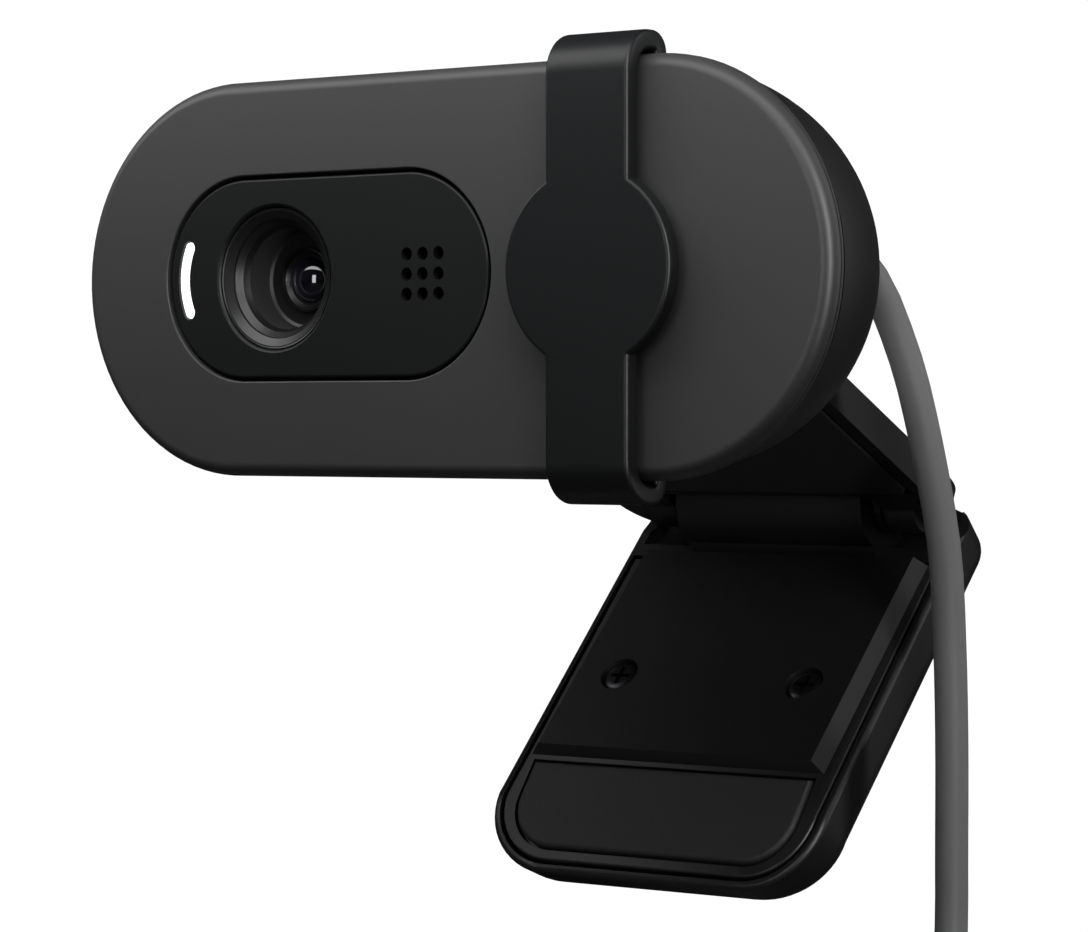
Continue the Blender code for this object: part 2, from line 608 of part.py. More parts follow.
def make_lead_exit(head):
    """Strain relief through the cover's back, the board connector and the wires between them."""
    neck0, neck1 = INNER_Y - GAP, BACK_Y + GAP
    inside = neck0 - 1.0 * MM
    profile = [(inside, RELIEF_FLANGE_R), (neck0, RELIEF_FLANGE_R), (neck0, RELIEF_R), (neck1, RELIEF_R),
               (neck1, RELIEF_FLANGE_R), (neck1 + 1.0 * MM, RELIEF_FLANGE_R), (neck1 + 1.4 * MM, RELIEF_R),
               (neck1 + RELIEF_LENGTH, RELIEF_TIP_R)]
    turned_y("cable_strain_relief", profile, EXIT_X, EXIT_Z, rubber(), head)
    cx, cy, cz = CONNECTOR
    ivory = material("connector_ivory", (0.75, 0.72, 0.62), 0.45)
    y = BOARD_Y + BOARD_THICK + GAP
    x = EXIT_X - 15 * MM
    block("cable_connector", x - cx / 2, x + cx / 2, y, y + cy, -cz / 2, cz / 2, ivory, head)
    start = (x + cx / 2 + GAP, y + cy / 2, 0.0)
    end = (EXIT_X - RELIEF_FLANGE_R - GAP, INNER_Y - GAP - INNER_LEAD_R - 0.4 * MM, EXIT_Z)
    middle = [start[i] * 0.5 + end[i] * 0.5 for i in range(3)]
    route = [[c / MM for c in p] for p in (start, middle, end)]
    cord("inner_lead", route, INNER_LEAD_R, rubber(), head, 2 * INNER_LEAD_R)


def make_slider(head):
    """The privacy shutter: a strap round the head's front with hooked ends and a round middle."""
    slider = frame_at("slider_frame", head, (SLIDER_X, 0.0, 0.0))
    face = -SLIDER_CLEARANCE - SLIDER_THICK
    inner_z = HEAD_HEIGHT / 2 + SLIDER_CLEARANCE
    outer_z = inner_z + SLIDER_STRAP
    lip_z = inner_z - SLIDER_CLEARANCE - SLIDER_LIP_DROP
    half = [(face, 0.0)]
    half += [(face + depth, outer_z - inset) for inset, depth in arc_insets(SLIDER_ROUND, 5)[::-1]]
    tip = SLIDER_TIP_R
    half += [(SLIDER_REACH - tip + tip * math.sin(t), outer_z - tip + tip * math.cos(t))
             for t in (0.0, 0.5, 1.0, math.pi / 2)]
    half += [(SLIDER_REACH, lip_z), (SLIDER_REACH - SLIDER_LIP, lip_z), (SLIDER_REACH - SLIDER_LIP, inner_z)]
    bend = FRONT_ROUND * 0.8
    half += [(-SLIDER_CLEARANCE + bend, inner_z), (-SLIDER_CLEARANCE + bend * 0.3, inner_z - bend * 0.3),
             (-SLIDER_CLEARANCE, inner_z - bend), (-SLIDER_CLEARANCE, 0.0)]
    outline = half + [(y, -z) for y, z in half[::-1] if z > 0]
    w = SLIDER_WIDTH / 2
    strap = loft("privacy_slider", [in_yz(outline, -w), in_yz(outline, w)], black(), slider)
    disc = [(face, SLIDER_DISC_R - 0.3 * MM), (face + 0.3 * MM, SLIDER_DISC_R), (-SLIDER_CLEARANCE, SLIDER_DISC_R)]
    join(strap, turned_y("guide_slider_disc", disc, 0.0, 0.0, None, slider, steps=48))


# ---- arm ----------------------------------------------------------------------------------------
def arm_plan(inset):
    """The arm from above: narrow at the tilt barrel, round shoulders, round rear corners."""
    return rounded(-ARM_WIDTH / 2, ARM_WIDTH / 2, ARM_SHOULDER, ARM_LENGTH + ARM_END,
                   ARM_SHOULDER_R, ARM_END_R, inset=inset)


def make_arm(arm):
    """A flat plate from the tilt barrel to the two lugs of the fold hinge."""
    plate = slab("arm_frame", arm_plan, in_xy, -ARM_HALF, ARM_HALF, black(), arm, ARM_ROUND, ARM_ROUND)
    neck = TILT_BARREL_HALF
    root, flare, end = neck - MM, neck + 2.5 * MM, ARM_SHOULDER + 3 * MM
    bar = [(-root, 0.0), (root, 0.0), (flare, end), (-flare, end)]
    join(plate, loft("guide_arm_neck", [in_xy(bar, -ARM_HALF), in_xy(bar, ARM_HALF)], None, arm))
    join(plate, rod_x("guide_arm_barrel", TILT_R, -neck, neck, 0.0, 0.0, None, arm))
    for side, sign in (("left", -1), ("right", 1)):
        x0, x1 = sorted((sign * LEG_LUG_X, sign * (LEG_LUG_X + LEG_LUG)))
        join(plate, rod_x(f"guide_leg_lug_{side}", LEG_LUG_R, x0, x1, ARM_LENGTH, 0.0, None, arm))
    notch = block("guide_knuckle_notch", -LEG_LUG_X, LEG_LUG_X, PAD_BACK, ARM_LENGTH + 9 * MM, -5 * MM, 5 * MM, None, arm)
    cut(plate, notch)
    recess = slab("guide_pad_recess", lambda i: pad_plan(i - GAP), in_xy, -ARM_THICK, PAD_PROUD + PAD_THICK - PAD_FACE,
                  None, arm)
    cut(plate, recess)
    bore = PIN_R + GAP
    cut(plate, rod_x("guide_arm_tilt_bore", bore, -ARM_WIDTH, ARM_WIDTH, 0.0, 0.0, None, arm, steps=16))
    far = LEG_LUG_X + LEG_LUG - 0.8 * MM
    cut(plate, rod_x("guide_arm_fold_bore", bore, -far, far, ARM_LENGTH, 0.0, None, arm, steps=16))


def pad_plan(inset):
    half = ARM_WIDTH / 2 - PAD_MARGIN
    return rounded(-half, half, PAD_FRONT, PAD_BACK - PAD_MARGIN / 2, PAD_CORNER_R, inset=inset, steps=4)


def make_arm_fittings(arm):
    """The grip pad under the arm and both hinges' pins and washers."""
    slab("arm_grip_pad", pad_plan, in_xy, -PAD_FACE, PAD_THICK - PAD_FACE, rubber(), arm)
    tilt_far = TILT_LUG_X + TILT_LUG - 0.8 * MM - GAP
    rod_x("tilt_pin", PIN_R, -tilt_far, tilt_far, 0.0, 0.0, steel(), arm, steps=16)
    fold_far = LEG_LUG_X + LEG_LUG - 0.8 * MM - GAP
    rod_x("fold_pin", PIN_R, -fold_far, fold_far, ARM_LENGTH, 0.0, steel(), arm, steps=16)
    for side, sign in (("left", -1), ("right", 1)):
        for name, start, y in (("tilt", TILT_BARREL_HALF, 0.0), ("fold", KNUCKLE_HALF, ARM_LENGTH)):
            x0, x1 = sorted((sign * (start + GAP), sign * (start + GAP + WASHER)))
            tube_x(f"{name}_washer_{side}", WASHER_R, PIN_R + GAP, x0, x1, y, 0.0, steel(), arm)


# ---- leg ----------------------------------------------------------------------------------------
def leg_plan(inset):
    half = LEG_WIDTH / 2
    return rounded(-half, half, -LEG_REACH, LEG_TOP, LEG_END_R, LEG_TOP_R, inset=inset)


def leg_hollow(inset):
    """The leg's cavity: the shell's outline, stopped below the knuckle."""
    half = LEG_WIDTH / 2
    return rounded(-half + inset, half - inset, -LEG_REACH + inset, -COVER_TOP + GAP - (inset - LEG_RIM),
                   LEG_END_R - inset, 0.3 * MM)


def make_leg_shell(leg):
    """The outer tray of the leg, with the hinge knuckle at its top and two screw bosses."""
    back = LEG_BACK
    shell = slab("leg_shell", leg_plan, in_xz, LEG_FRONT, back, black(), leg, 0.25 * MM, LEG_BACK_ROUND, steps=4)
    arm_end = math.hypot(ARM_END, ARM_HALF) + SWEEP_GAP
    wide = LEG_WIDTH / 2 - LEG_WALL
    edge = math.hypot(ARM_HALF, ARM_HALF) + SWEEP_GAP + MM / 2
    cut(shell, rod_x("guide_arm_sweep", arm_end, -wide, wide, 0.0, 0.0, None, leg, steps=36))
    cut(shell, rod_x("guide_edge_sweep", edge, -LEG_WIDTH, LEG_WIDTH, 0.0, 0.0, None, leg, steps=28))
    turns = [math.radians(14 + 269 * i / 24) for i in range(25)]
    web = [(KNUCKLE_R * math.cos(t), KNUCKLE_R * math.sin(t)) for t in turns]
    seat = LEG_FRONT + COVER_THICK + GAP
    inside = back - LEG_WALL / 2
    web += [(LEG_FRONT, -COVER_TOP + GAP), (seat, -COVER_TOP + GAP), (inside, -COVER_TOP - 1.5 * MM), (inside, -MM)]
    knuckle = loft("guide_knuckle", [in_yz(web, -KNUCKLE_HALF), in_yz(web, KNUCKLE_HALF)], None, leg)
    rings = [in_xz(leg_hollow(LEG_RIM), LEG_FRONT - MM), in_xz(leg_hollow(LEG_RIM), seat),
             in_xz(leg_hollow(LEG_RIM + LEG_WALL), seat), in_xz(leg_hollow(LEG_RIM + LEG_WALL), back - LEG_WALL)]
    cut(shell, loft("guide_leg_hollow", rings, None, leg))
    join(shell, knuckle)
    for side, sign in (("left", -1), ("right", 1)):
        x = sign * LEG_SCREW_X
        boss = [(seat, BOSS_R), (back - LEG_WALL / 2, BOSS_R)]
        join(shell, turned_y(f"guide_boss_{side}", boss, x, -LEG_SCREW_DROP, None, leg, steps=20))
        hole = [(seat - MM, LEG_SCREW_R + GAP), (seat + LEG_SCREW_BITE, LEG_SCREW_R + GAP)]
        cut(shell, turned_y(f"guide_boss_hole_{side}", hole, x, -LEG_SCREW_DROP, None, leg, steps=12))
    cut(shell, rod_x("guide_knuckle_bore", PIN_R + GAP, -LEG_WIDTH, LEG_WIDTH, 0.0, 0.0, None, leg, steps=16))
    bend_end(shell)


def cover_plan(inset, end):
    half = COVER_HALF
    return rounded(-half, half, -end, -COVER_TOP, LEG_END_R - LEG_RIM - GAP if end == COVER_END else 0.1 * MM,
                   0.1 * MM, inset=inset)


def make_leg_cover(leg):
    """The lid of the leg: a raised plateau with slanted sides, and a lower end with a rubber pad."""
    front = LEG_FRONT
    cover = slab("leg_cover", lambda i: cover_plan(i, COVER_END), in_xz, front, front + COVER_THICK, black(), leg)
    wide, slant = COVER_HALF, PLATEAU_SLANT
    foot = [(-wide, -PLATEAU_END), (wide, -PLATEAU_END), (wide, -COVER_TOP), (-wide, -COVER_TOP)]
    head_end = PLATEAU_END - PLATEAU_RISE * 0.75
    top = [(-wide + slant, -head_end), (wide - slant, -head_end), (wide - slant, -COVER_TOP), (-wide + slant, -COVER_TOP)]
    rise = front - PLATEAU_RISE
    rings = [in_xz(foot, front + COVER_THICK / 2), in_xz(foot, front), in_xz(top, rise)]
    join(cover, loft("guide_plateau", rings, None, leg))
    deep = front + RUBBER_THICK - RUBBER_PROUD + GAP
    cut(cover, loft("guide_rubber_recess", [in_xz(rubber_plan(-GAP), 0.0), in_xz(rubber_plan(-GAP), deep)], None, leg))
    head_r = LEG_SCREW_HEAD_R + GAP
    seat = rise + LEG_SCREW_SUNK + LEG_SCREW_HEAD + GAP
    for side, sign in (("left", -1), ("right", 1)):
        sink = [(0.0, head_r), (seat, head_r), (seat, LEG_SCREW_R + GAP), (LEG_BACK, LEG_SCREW_R + GAP)]
        cut(cover, turned_y(f"guide_cover_hole_{side}", sink, sign * LEG_SCREW_X, -LEG_SCREW_DROP, None, leg, steps=20))
    pad = slab("leg_rubber_pad", rubber_plan, in_xz, front - RUBBER_PROUD, front - RUBBER_PROUD + RUBBER_THICK, rubber(), leg)
    bend_end(cover)
    bend_end(pad)


def rubber_plan(inset):
    half = COVER_HALF - RUBBER_MARGIN
    return rounded(-half, half, -COVER_END + RUBBER_END_MARGIN, -RUBBER_TOP, RUBBER_CORNER_R, 0.4 * MM, inset=inset, steps=6)


def bend_end(obj):
    """Cut a finished leg piece into strips across its lower end and turn each one round the bend."""
    bpy.context.view_layer.update()
    view = bpy.context.evaluated_depsgraph_get()
    mesh = bpy.data.meshes.new_from_object(obj.evaluated_get(view), depsgraph=view)
    shape = bmesh.new()
    shape.from_mesh(mesh)
    strip = (LEG_REACH - BEND_START) / BEND_STRIPS
    for k in range(BEND_STRIPS):
        everything = shape.verts[:] + shape.edges[:] + shape.faces[:]
        bmesh.ops.bisect_plane(shape, geom=everything, dist=0.001 * MM, plane_no=(0.0, 0.0, 1.0),
                               plane_co=(0.0, 0.0, -BEND_START - k * strip))
    radius = (LEG_REACH - BEND_START) / BEND_TURN
    for v in shape.verts:
        past = (-v.co.z - BEND_START) / strip
        if past > 0:
            k = min(int(past), BEND_STRIPS - 1)
            inner = radius - (v.co.y - LEG_FRONT)
            a, b = (j * BEND_TURN / BEND_STRIPS for j in (k, k + 1))
            share = past - k
            across = math.cos(a) * (1 - share) + math.cos(b) * share
            along = math.sin(a) * (1 - share) + math.sin(b) * share
            v.co.y = LEG_FRONT + radius - inner * across
            v.co.z = -BEND_START - inner * along
    shape.to_mesh(mesh)
    shape.free()
    mesh.shade_smooth()
    mesh.set_sharp_from_angle(angle=math.radians(35))
    mesh.name = obj.name + "_bent"
    obj.modifiers.clear()
    obj.data = mesh


def make_leg_screws(leg):
    """Two small cross-head screws that hold the cover to the shell's bosses."""
    top = LEG_FRONT - PLATEAU_RISE + LEG_SCREW_SUNK
    under = top + LEG_SCREW_HEAD
    end = LEG_FRONT + COVER_THICK + GAP + LEG_SCREW_BITE - GAP
    for side, sign in (("left", -1), ("right", 1)):
        x, z = sign * LEG_SCREW_X, -LEG_SCREW_DROP
        r = LEG_SCREW_HEAD_R
        profile = [(top, r * 0.8), (top + 0.15 * MM, r), (under, r), (under, LEG_SCREW_R), (end, LEG_SCREW_R)]
        screw = turned_y(f"leg_screw_{side}", profile, x, z, steel(), leg, steps=20)
        long, thin = r * 0.6, 0.18 * MM
        for k, (a, b) in enumerate(((long, thin), (thin, long))):
            slot = block(f"guide_cross_{side}_{k}", x - a, x + a, top - MM, top + 0.45 * MM, z - b, z + b, None, leg)
            cut(screw, slot)


# ---- lead, coil and plug ------------------------------------------------------------------------
def make_lead(head):
    """The free lead, its spare length as a tied coil, and the end that carries the plug."""
    start = BACK_Y + GAP + RELIEF_LENGTH + CORD_GAP
    hang = [(x, y + start / MM, z) for x, y, z in HANG]
    sheath = material("cord_sheath", (0.1, 0.1, 0.105), 0.55)
    cord("cable", hang, CORD_R, sheath, head, 4 * CORD_R)
    bottom, top = COIL_Z, COIL_Z + COIL_HEIGHT
    soft = 2.2 * MM
    inner, outer = COIL_MID_R - COIL_HALF_WIDTH, COIL_MID_R + COIL_HALF_WIDTH
    section = [(outer - soft, bottom), (outer, bottom + soft), (outer, top - soft), (outer - soft, top),
               (inner + soft, top), (inner, top - soft), (inner, bottom + soft), (inner + soft, bottom)]
    rings = [in_xy(circle(COIL_X, COIL_Y, r, 40), z) for r, z in section]
    loft("cable_coil", rings, sheath, head, closed=True)
    near = math.sqrt(inner ** 2 - (TIE_WIDTH / 2) ** 2) - GAP
    a = [COIL_X - outer - GAP, COIL_X - near, bottom - GAP, top + GAP]
    y0, y1 = COIL_Y - TIE_WIDTH / 2, COIL_Y + TIE_WIDTH / 2
    loops = [rounded(a[0] - t, a[1] + t, a[2] - t, a[3] + t, 1.8 * MM + t, steps=4) for t in (0.0, TIE_THICK)]
    rings = [in_xz(loops[1], y0), in_xz(loops[1], y1), in_xz(loops[0], y1), in_xz(loops[0], y0)]
    loft("cable_tie", rings, rubber(), head, closed=True)
    cord("cable_tail", TAIL, CORD_R, sheath, head, 4 * CORD_R)


def make_plug(head):
    """A USB plug lying flat: strain relief, grip, metal shell and tongue."""
    w, length, h = GRIP
    z = FLOOR_Z + h / 2
    a = PLUG_Y
    b = a + PLUG_RELIEF
    turned_y("plug_strain_relief", [(a, 2.0 * MM), (b, 3.1 * MM)], PLUG_X, z, rubber(), head, steps=16)
    y0, y1 = b + GAP, b + GAP + length
    round_box = lambda i: rounded(PLUG_X - w / 2, PLUG_X + w / 2, z - h / 2, z + h / 2, 2.0 * MM, inset=i, steps=4)
    sw, sl, sh = SHELL
    grip = slab("plug_grip", round_box, in_xz, y0, y1, black(), head, 1.2 * MM, 0.8 * MM)
    root = y1 - SHELL_ROOT
    box = lambda t: [(PLUG_X - sw / 2 + t, z - sh / 2 + t), (PLUG_X + sw / 2 - t, z - sh / 2 + t),
                     (PLUG_X + sw / 2 - t, z + sh / 2 - t), (PLUG_X - sw / 2 + t, z + sh / 2 - t)]
    cut(grip, loft("guide_shell_seat", [in_xz(box(-GAP), root - GAP), in_xz(box(-GAP), y1 + MM)], None, head))
    tip = y1 + sl
    sheet = SHELL_SHEET
    rings = [in_xz(box(0.0), root), in_xz(box(0.0), tip), in_xz(box(sheet), tip), in_xz(box(sheet), root)]
    loft("plug_shell", rings, steel(), head, closed=True)
    inside = sheet + GAP
    t0 = z + sh / 2 - inside - TONGUE_THICK
    ivory = material("connector_ivory", (0.75, 0.72, 0.62), 0.45)
    block("plug_tongue", PLUG_X - sw / 2 + inside, PLUG_X + sw / 2 - inside, root, tip - 0.8 * MM,
          t0, t0 + TONGUE_THICK, ivory, head)


# ---- assembly -----------------------------------------------------------------------------------
clear_scene()
pad_y = TILT_Y + PAD_MIDDLE * math.cos(ARM_SLOPE) - PAD_FACE * math.sin(ARM_SLOPE)
pad_z = TILT_Z - PAD_MIDDLE * math.sin(ARM_SLOPE) - PAD_FACE * math.cos(ARM_SLOPE)
head_frame = frame_at("head_frame", None, (0.0, -pad_y, -pad_z))
arm_frame = frame_at("arm_frame_axis", head_frame, (0.0, TILT_Y, TILT_Z), -ARM_SLOPE)
leg_frame = frame_at("leg_frame_axis", arm_frame, (0.0, ARM_LENGTH, 0.0), ARM_SLOPE - LEG_SLOPE)
make_front_shell(head_frame)
make_face_insert(head_frame)
make_camera(head_frame)
make_electronics(head_frame)
make_rear_cover(head_frame)
make_lead_exit(head_frame)
make_slider(head_frame)
make_arm(arm_frame)
make_arm_fittings(arm_frame)
make_leg_shell(leg_frame)
make_leg_cover(leg_frame)
make_leg_screws(leg_frame)
make_lead(head_frame)
make_plug(head_frame)
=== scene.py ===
import json
import math

import bmesh
import bpy
from mathutils import Matrix, Vector


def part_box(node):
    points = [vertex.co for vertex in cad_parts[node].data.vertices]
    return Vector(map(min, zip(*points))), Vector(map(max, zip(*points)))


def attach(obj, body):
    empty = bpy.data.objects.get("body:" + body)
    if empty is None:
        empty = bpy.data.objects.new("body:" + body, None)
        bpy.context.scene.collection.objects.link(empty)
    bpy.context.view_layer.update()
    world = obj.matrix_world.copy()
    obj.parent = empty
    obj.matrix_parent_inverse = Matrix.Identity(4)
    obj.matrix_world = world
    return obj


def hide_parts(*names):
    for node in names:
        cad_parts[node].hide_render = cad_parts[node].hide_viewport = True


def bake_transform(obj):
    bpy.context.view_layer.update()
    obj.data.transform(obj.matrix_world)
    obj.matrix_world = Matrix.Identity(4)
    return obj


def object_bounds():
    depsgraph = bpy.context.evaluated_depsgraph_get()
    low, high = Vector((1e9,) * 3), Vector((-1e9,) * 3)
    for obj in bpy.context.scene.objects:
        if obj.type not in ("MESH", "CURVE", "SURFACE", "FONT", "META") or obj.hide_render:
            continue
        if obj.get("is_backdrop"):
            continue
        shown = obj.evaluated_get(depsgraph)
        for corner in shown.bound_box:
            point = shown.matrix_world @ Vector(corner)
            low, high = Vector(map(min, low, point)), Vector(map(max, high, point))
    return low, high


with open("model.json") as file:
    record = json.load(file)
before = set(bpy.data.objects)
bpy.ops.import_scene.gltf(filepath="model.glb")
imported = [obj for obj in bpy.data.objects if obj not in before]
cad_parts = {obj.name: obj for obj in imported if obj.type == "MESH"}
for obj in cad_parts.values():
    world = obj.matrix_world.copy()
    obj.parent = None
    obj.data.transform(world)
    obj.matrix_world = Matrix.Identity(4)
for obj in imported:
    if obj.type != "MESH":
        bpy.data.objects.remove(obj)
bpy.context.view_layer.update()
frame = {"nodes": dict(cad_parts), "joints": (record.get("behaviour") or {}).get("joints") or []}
MM = 0.001

# ---- where things are ---------------------------------------------------------------------------
# The head's front plane and middle height, the tilt axis, the fold axis and the surface under the lead
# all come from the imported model.
JOINTS = {joint["name"]: joint for joint in frame["joints"]}
shell_low, shell_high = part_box("front_shell")
HEAD = Vector((0.0, shell_low.y, (shell_low.z + shell_high.z) / 2))
TILT = Vector(JOINTS["head_tilt"]["pos_m"])
FOLD = Vector(JOINTS["leg_fold"]["pos_m"])
ARM_TURN = math.atan2(FOLD.z - TILT.z, FOLD.y - TILT.y)
LEG_TURN = -math.radians(45.8)
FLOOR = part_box("plug_grip")[0].z

# ---- camera, light and floor --------------------------------------------------------------------
# A long lens in front and to the right, and a white sweep under everything. A wide soft box hangs close
# above the face, two strips draw bright lines along the right-hand edges, and a box straight ahead
# gives the lens its glint.
camera_data = bpy.data.cameras.new("camera")
camera = bpy.data.objects.new("camera", camera_data)
bpy.context.scene.collection.objects.link(camera)
camera_data.lens = 119.42
camera_data.sensor_width = 36.0
camera_data.sensor_fit = "HORIZONTAL"
camera.location = HEAD + Vector((172.03, -221.81, -11.24)) * MM
camera.rotation_euler = (math.radians(90 - 0.762), 0.0, math.radians(36.0))
bpy.context.scene.camera = camera
bpy.context.scene.view_settings.view_transform = "Standard"

world = bpy.data.worlds.new("studio")
bpy.context.scene.world = world
world.use_nodes = True
nodes, links = world.node_tree.nodes, world.node_tree.links
nodes["Background"].inputs["Color"].default_value = (0.62, 0.63, 0.66, 1.0)
nodes["Background"].inputs["Strength"].default_value = 0.045
backdrop = nodes.new("ShaderNodeBackground")
backdrop.inputs["Color"].default_value = (1.0, 1.0, 1.0, 1.0)
backdrop.inputs["Strength"].default_value = 1.05
seen = nodes.new("ShaderNodeLightPath")
either = nodes.new("ShaderNodeMixShader")
links.new(seen.outputs["Is Camera Ray"], either.inputs["Fac"])
links.new(nodes["Background"].outputs["Background"], either.inputs[1])
links.new(backdrop.outputs["Background"], either.inputs[2])
links.new(either.outputs["Shader"], nodes["World Output"].inputs["Surface"])


def soft_box(name, place, aim, wide, high, watts, gloss_only=False):
    """A rectangular lamp at place, in millimetres from the head's middle, that faces aim."""
    lamp = bpy.data.lights.new(name, "AREA")
    lamp.shape = "RECTANGLE"
    lamp.size, lamp.size_y = wide, high
    lamp.energy = watts
    holder = bpy.data.objects.new(name, lamp)
    bpy.context.scene.collection.objects.link(holder)
    holder.location = HEAD + Vector(place) * MM
    direction = (Vector(place) - Vector(aim)).normalized()
    holder.rotation_euler = direction.to_track_quat("Z", "Y").to_euler()
    holder.visible_diffuse = not gloss_only


soft_box("top_box", (0, -32, 49), (0, -4, 14), 0.3, 0.035, 0.115)
soft_box("edge_strip", (262, -150, 30), (0, 0, 5), 0.02, 0.26, 0.95, gloss_only=True)
soft_box("lens_glint", (0, -420, 10), (-16, 0, 0), 0.1, 0.24, 0.42, gloss_only=True)
soft_box("back_strip", (250, 190, 60), (20, 20, -30), 0.05, 0.4, 0.26)

bpy.ops.object.select_all(action="DESELECT")
bpy.ops.mesh.primitive_plane_add(size=6.0, location=(0.0, 0.0, FLOOR - 0.05 * MM))
floor = bpy.context.object
floor.name = "floor"
paper = bpy.data.materials.new("white_sweep")
paper.use_nodes = True
nodes, links = paper.node_tree.nodes, paper.node_tree.links
nodes["Principled BSDF"].inputs["Base Color"].default_value = (0.12, 0.12, 0.125, 1.0)
nodes["Principled BSDF"].inputs["Roughness"].default_value = 0.9
glow = nodes.new("ShaderNodeEmission")
glow.inputs["Color"].default_value = (1.0, 1.0, 1.0, 1.0)
glow.inputs["Strength"].default_value = 1.05
seen = nodes.new("ShaderNodeLightPath")
either = nodes.new("ShaderNodeMixShader")
links.new(seen.outputs["Is Camera Ray"], either.inputs["Fac"])
links.new(nodes["Principled BSDF"].outputs["BSDF"], either.inputs[1])
links.new(glow.outputs["Emission"], either.inputs[2])
links.new(either.outputs["Shader"], nodes["Material Output"].inputs["Surface"])
floor.data.materials.append(paper)
floor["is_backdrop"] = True

# ---- lead ---------------------------------------------------------------------------------------
# One and a half metres of thin round USB lead in a soft grey sheath: out of the back of the head, down
# beside the arm and the leg, and wound into a small tied coil that ends in the plug.
CORD_R = 1.4 * MM
RELIEF_TIP = HEAD + Vector((21.0, 22.9, 3.2)) * MM
COIL_CENTRE = HEAD + Vector((2.0, 14.0, 0.0)) * MM
COIL_R = 15.5 * MM
COIL_FLOOR = FLOOR + 0.9 * MM + CORD_R
LAYER_RISE = 2.44 * MM
HANG = [(21.0, -1.5, 3.2), (21.05, 2.75, 2.83), (21.15, 5.4, 1.73), (21.4, 7.7, -0.02), (21.75, 9.5, -2.4),
        (22.2, 10.8, -5.3), (22.75, 11.8, -8.4), (23.25, 13.9, -15.2), (23.45, 15.9, -22.4),
        (23.35, 16.9, -29.8), (23.45, 17.1, -38.0), (23.45, 17.1, -47.0), (23.5, 16.9, -54.5),
        (23.6, 15.4, -60.2), (23.5, 11.6, -64.6), (23.2, 6.8, -66.4), (22.9, 2.5, -66.5)]
TAIL = [(-18.1, 19.6, -59.0), (-19.6, 23.0, -60.9), (-20.7, 26.0, -62.9), (-21.0, 29.2, -64.1),
        (-21.0, 30.8, -64.2)]


def smooth_route(points, spacing):
    """A smooth curve through the points, read off at an even spacing."""
    ends = [2 * points[0] - points[1]] + points + [2 * points[-1] - points[-2]]
    fine = []
    for i in range(1, len(ends) - 2):
        a, b, c, d = ends[i - 1:i + 3]
        for k in range(16):
            t = k / 16
            fine.append(0.5 * (2 * b + (c - a) * t + (2 * a - 5 * b + 4 * c - d) * t * t
                               + (3 * b - a - 3 * c + d) * t ** 3))
    fine.append(points[-1])
    kept = [fine[0]]
    for point in fine[1:-1]:
        if (point - kept[-1]).length >= spacing and (point - fine[-1]).length > 0.6 * spacing:
            kept.append(point)
    return kept + [fine[-1]]


def coil_turns():
    """Fourteen turns in four layers; each turn slips to the next place over its last sixth."""
    places = []
    for layer, offsets in enumerate(((4.2, 1.4, -1.4, -4.2), (-2.8, 0.0, 2.8), (4.2, 1.4, -1.4, -4.2),
                                     (-2.8, 0.0, 2.8))):
        places += [(COIL_R + offset * MM, COIL_FLOOR + layer * LAYER_RISE) for offset in offsets]
    points = []
    for turn, (radius, height) in enumerate(places):
        after = places[min(turn + 1, len(places) - 1)]
        for step in range(30):
            share = step / 30
            slip = max(0.0, (share - 0.8) / 0.2)
            slip = slip * slip * (3 - 2 * slip)
            r = radius + (after[0] - radius) * slip
            z = height + (after[1] - height) * slip
            angle = -2 * math.pi * share
            points.append(Vector((COIL_CENTRE.x + r * math.cos(angle), COIL_CENTRE.y + r * math.sin(angle), z)))
    half = places[-1]
    for step in range(15):
        angle = -math.pi * step / 15
        points.append(Vector((COIL_CENTRE.x + half[0] * math.cos(angle),
                              COIL_CENTRE.y + half[0] * math.sin(angle), half[1])))
    return points


start_y = RELIEF_TIP.y + 0.3 * MM
route = [Vector((HEAD.x + x * MM, start_y + y * MM, HEAD.z + z * MM)) for x, y, z in HANG]
route += coil_turns()
route += [HEAD + Vector(point) * MM for point in TAIL]
cord_line = smooth_route(route, 2.4 * MM)
curve = bpy.data.curves.new("usb_lead", "CURVE")
curve.dimensions = "3D"
curve.bevel_depth = CORD_R
curve.bevel_resolution = 5
curve.use_fill_caps = True
spline = curve.splines.new("POLY")
spline.points.add(len(cord_line) - 1)
for point, place in zip(spline.points, cord_line):
    point.co = (*place, 1.0)
lead = bpy.data.objects.new("usb_lead", curve)
bpy.context.scene.collection.objects.link(lead)
bpy.context.view_layer.objects.active = lead
lead.select_set(True)
bpy.ops.object.convert(target="MESH")
lead = bpy.context.object
lead.name = "usb_lead"
bpy.ops.object.shade_smooth_by_angle(angle=math.radians(40))


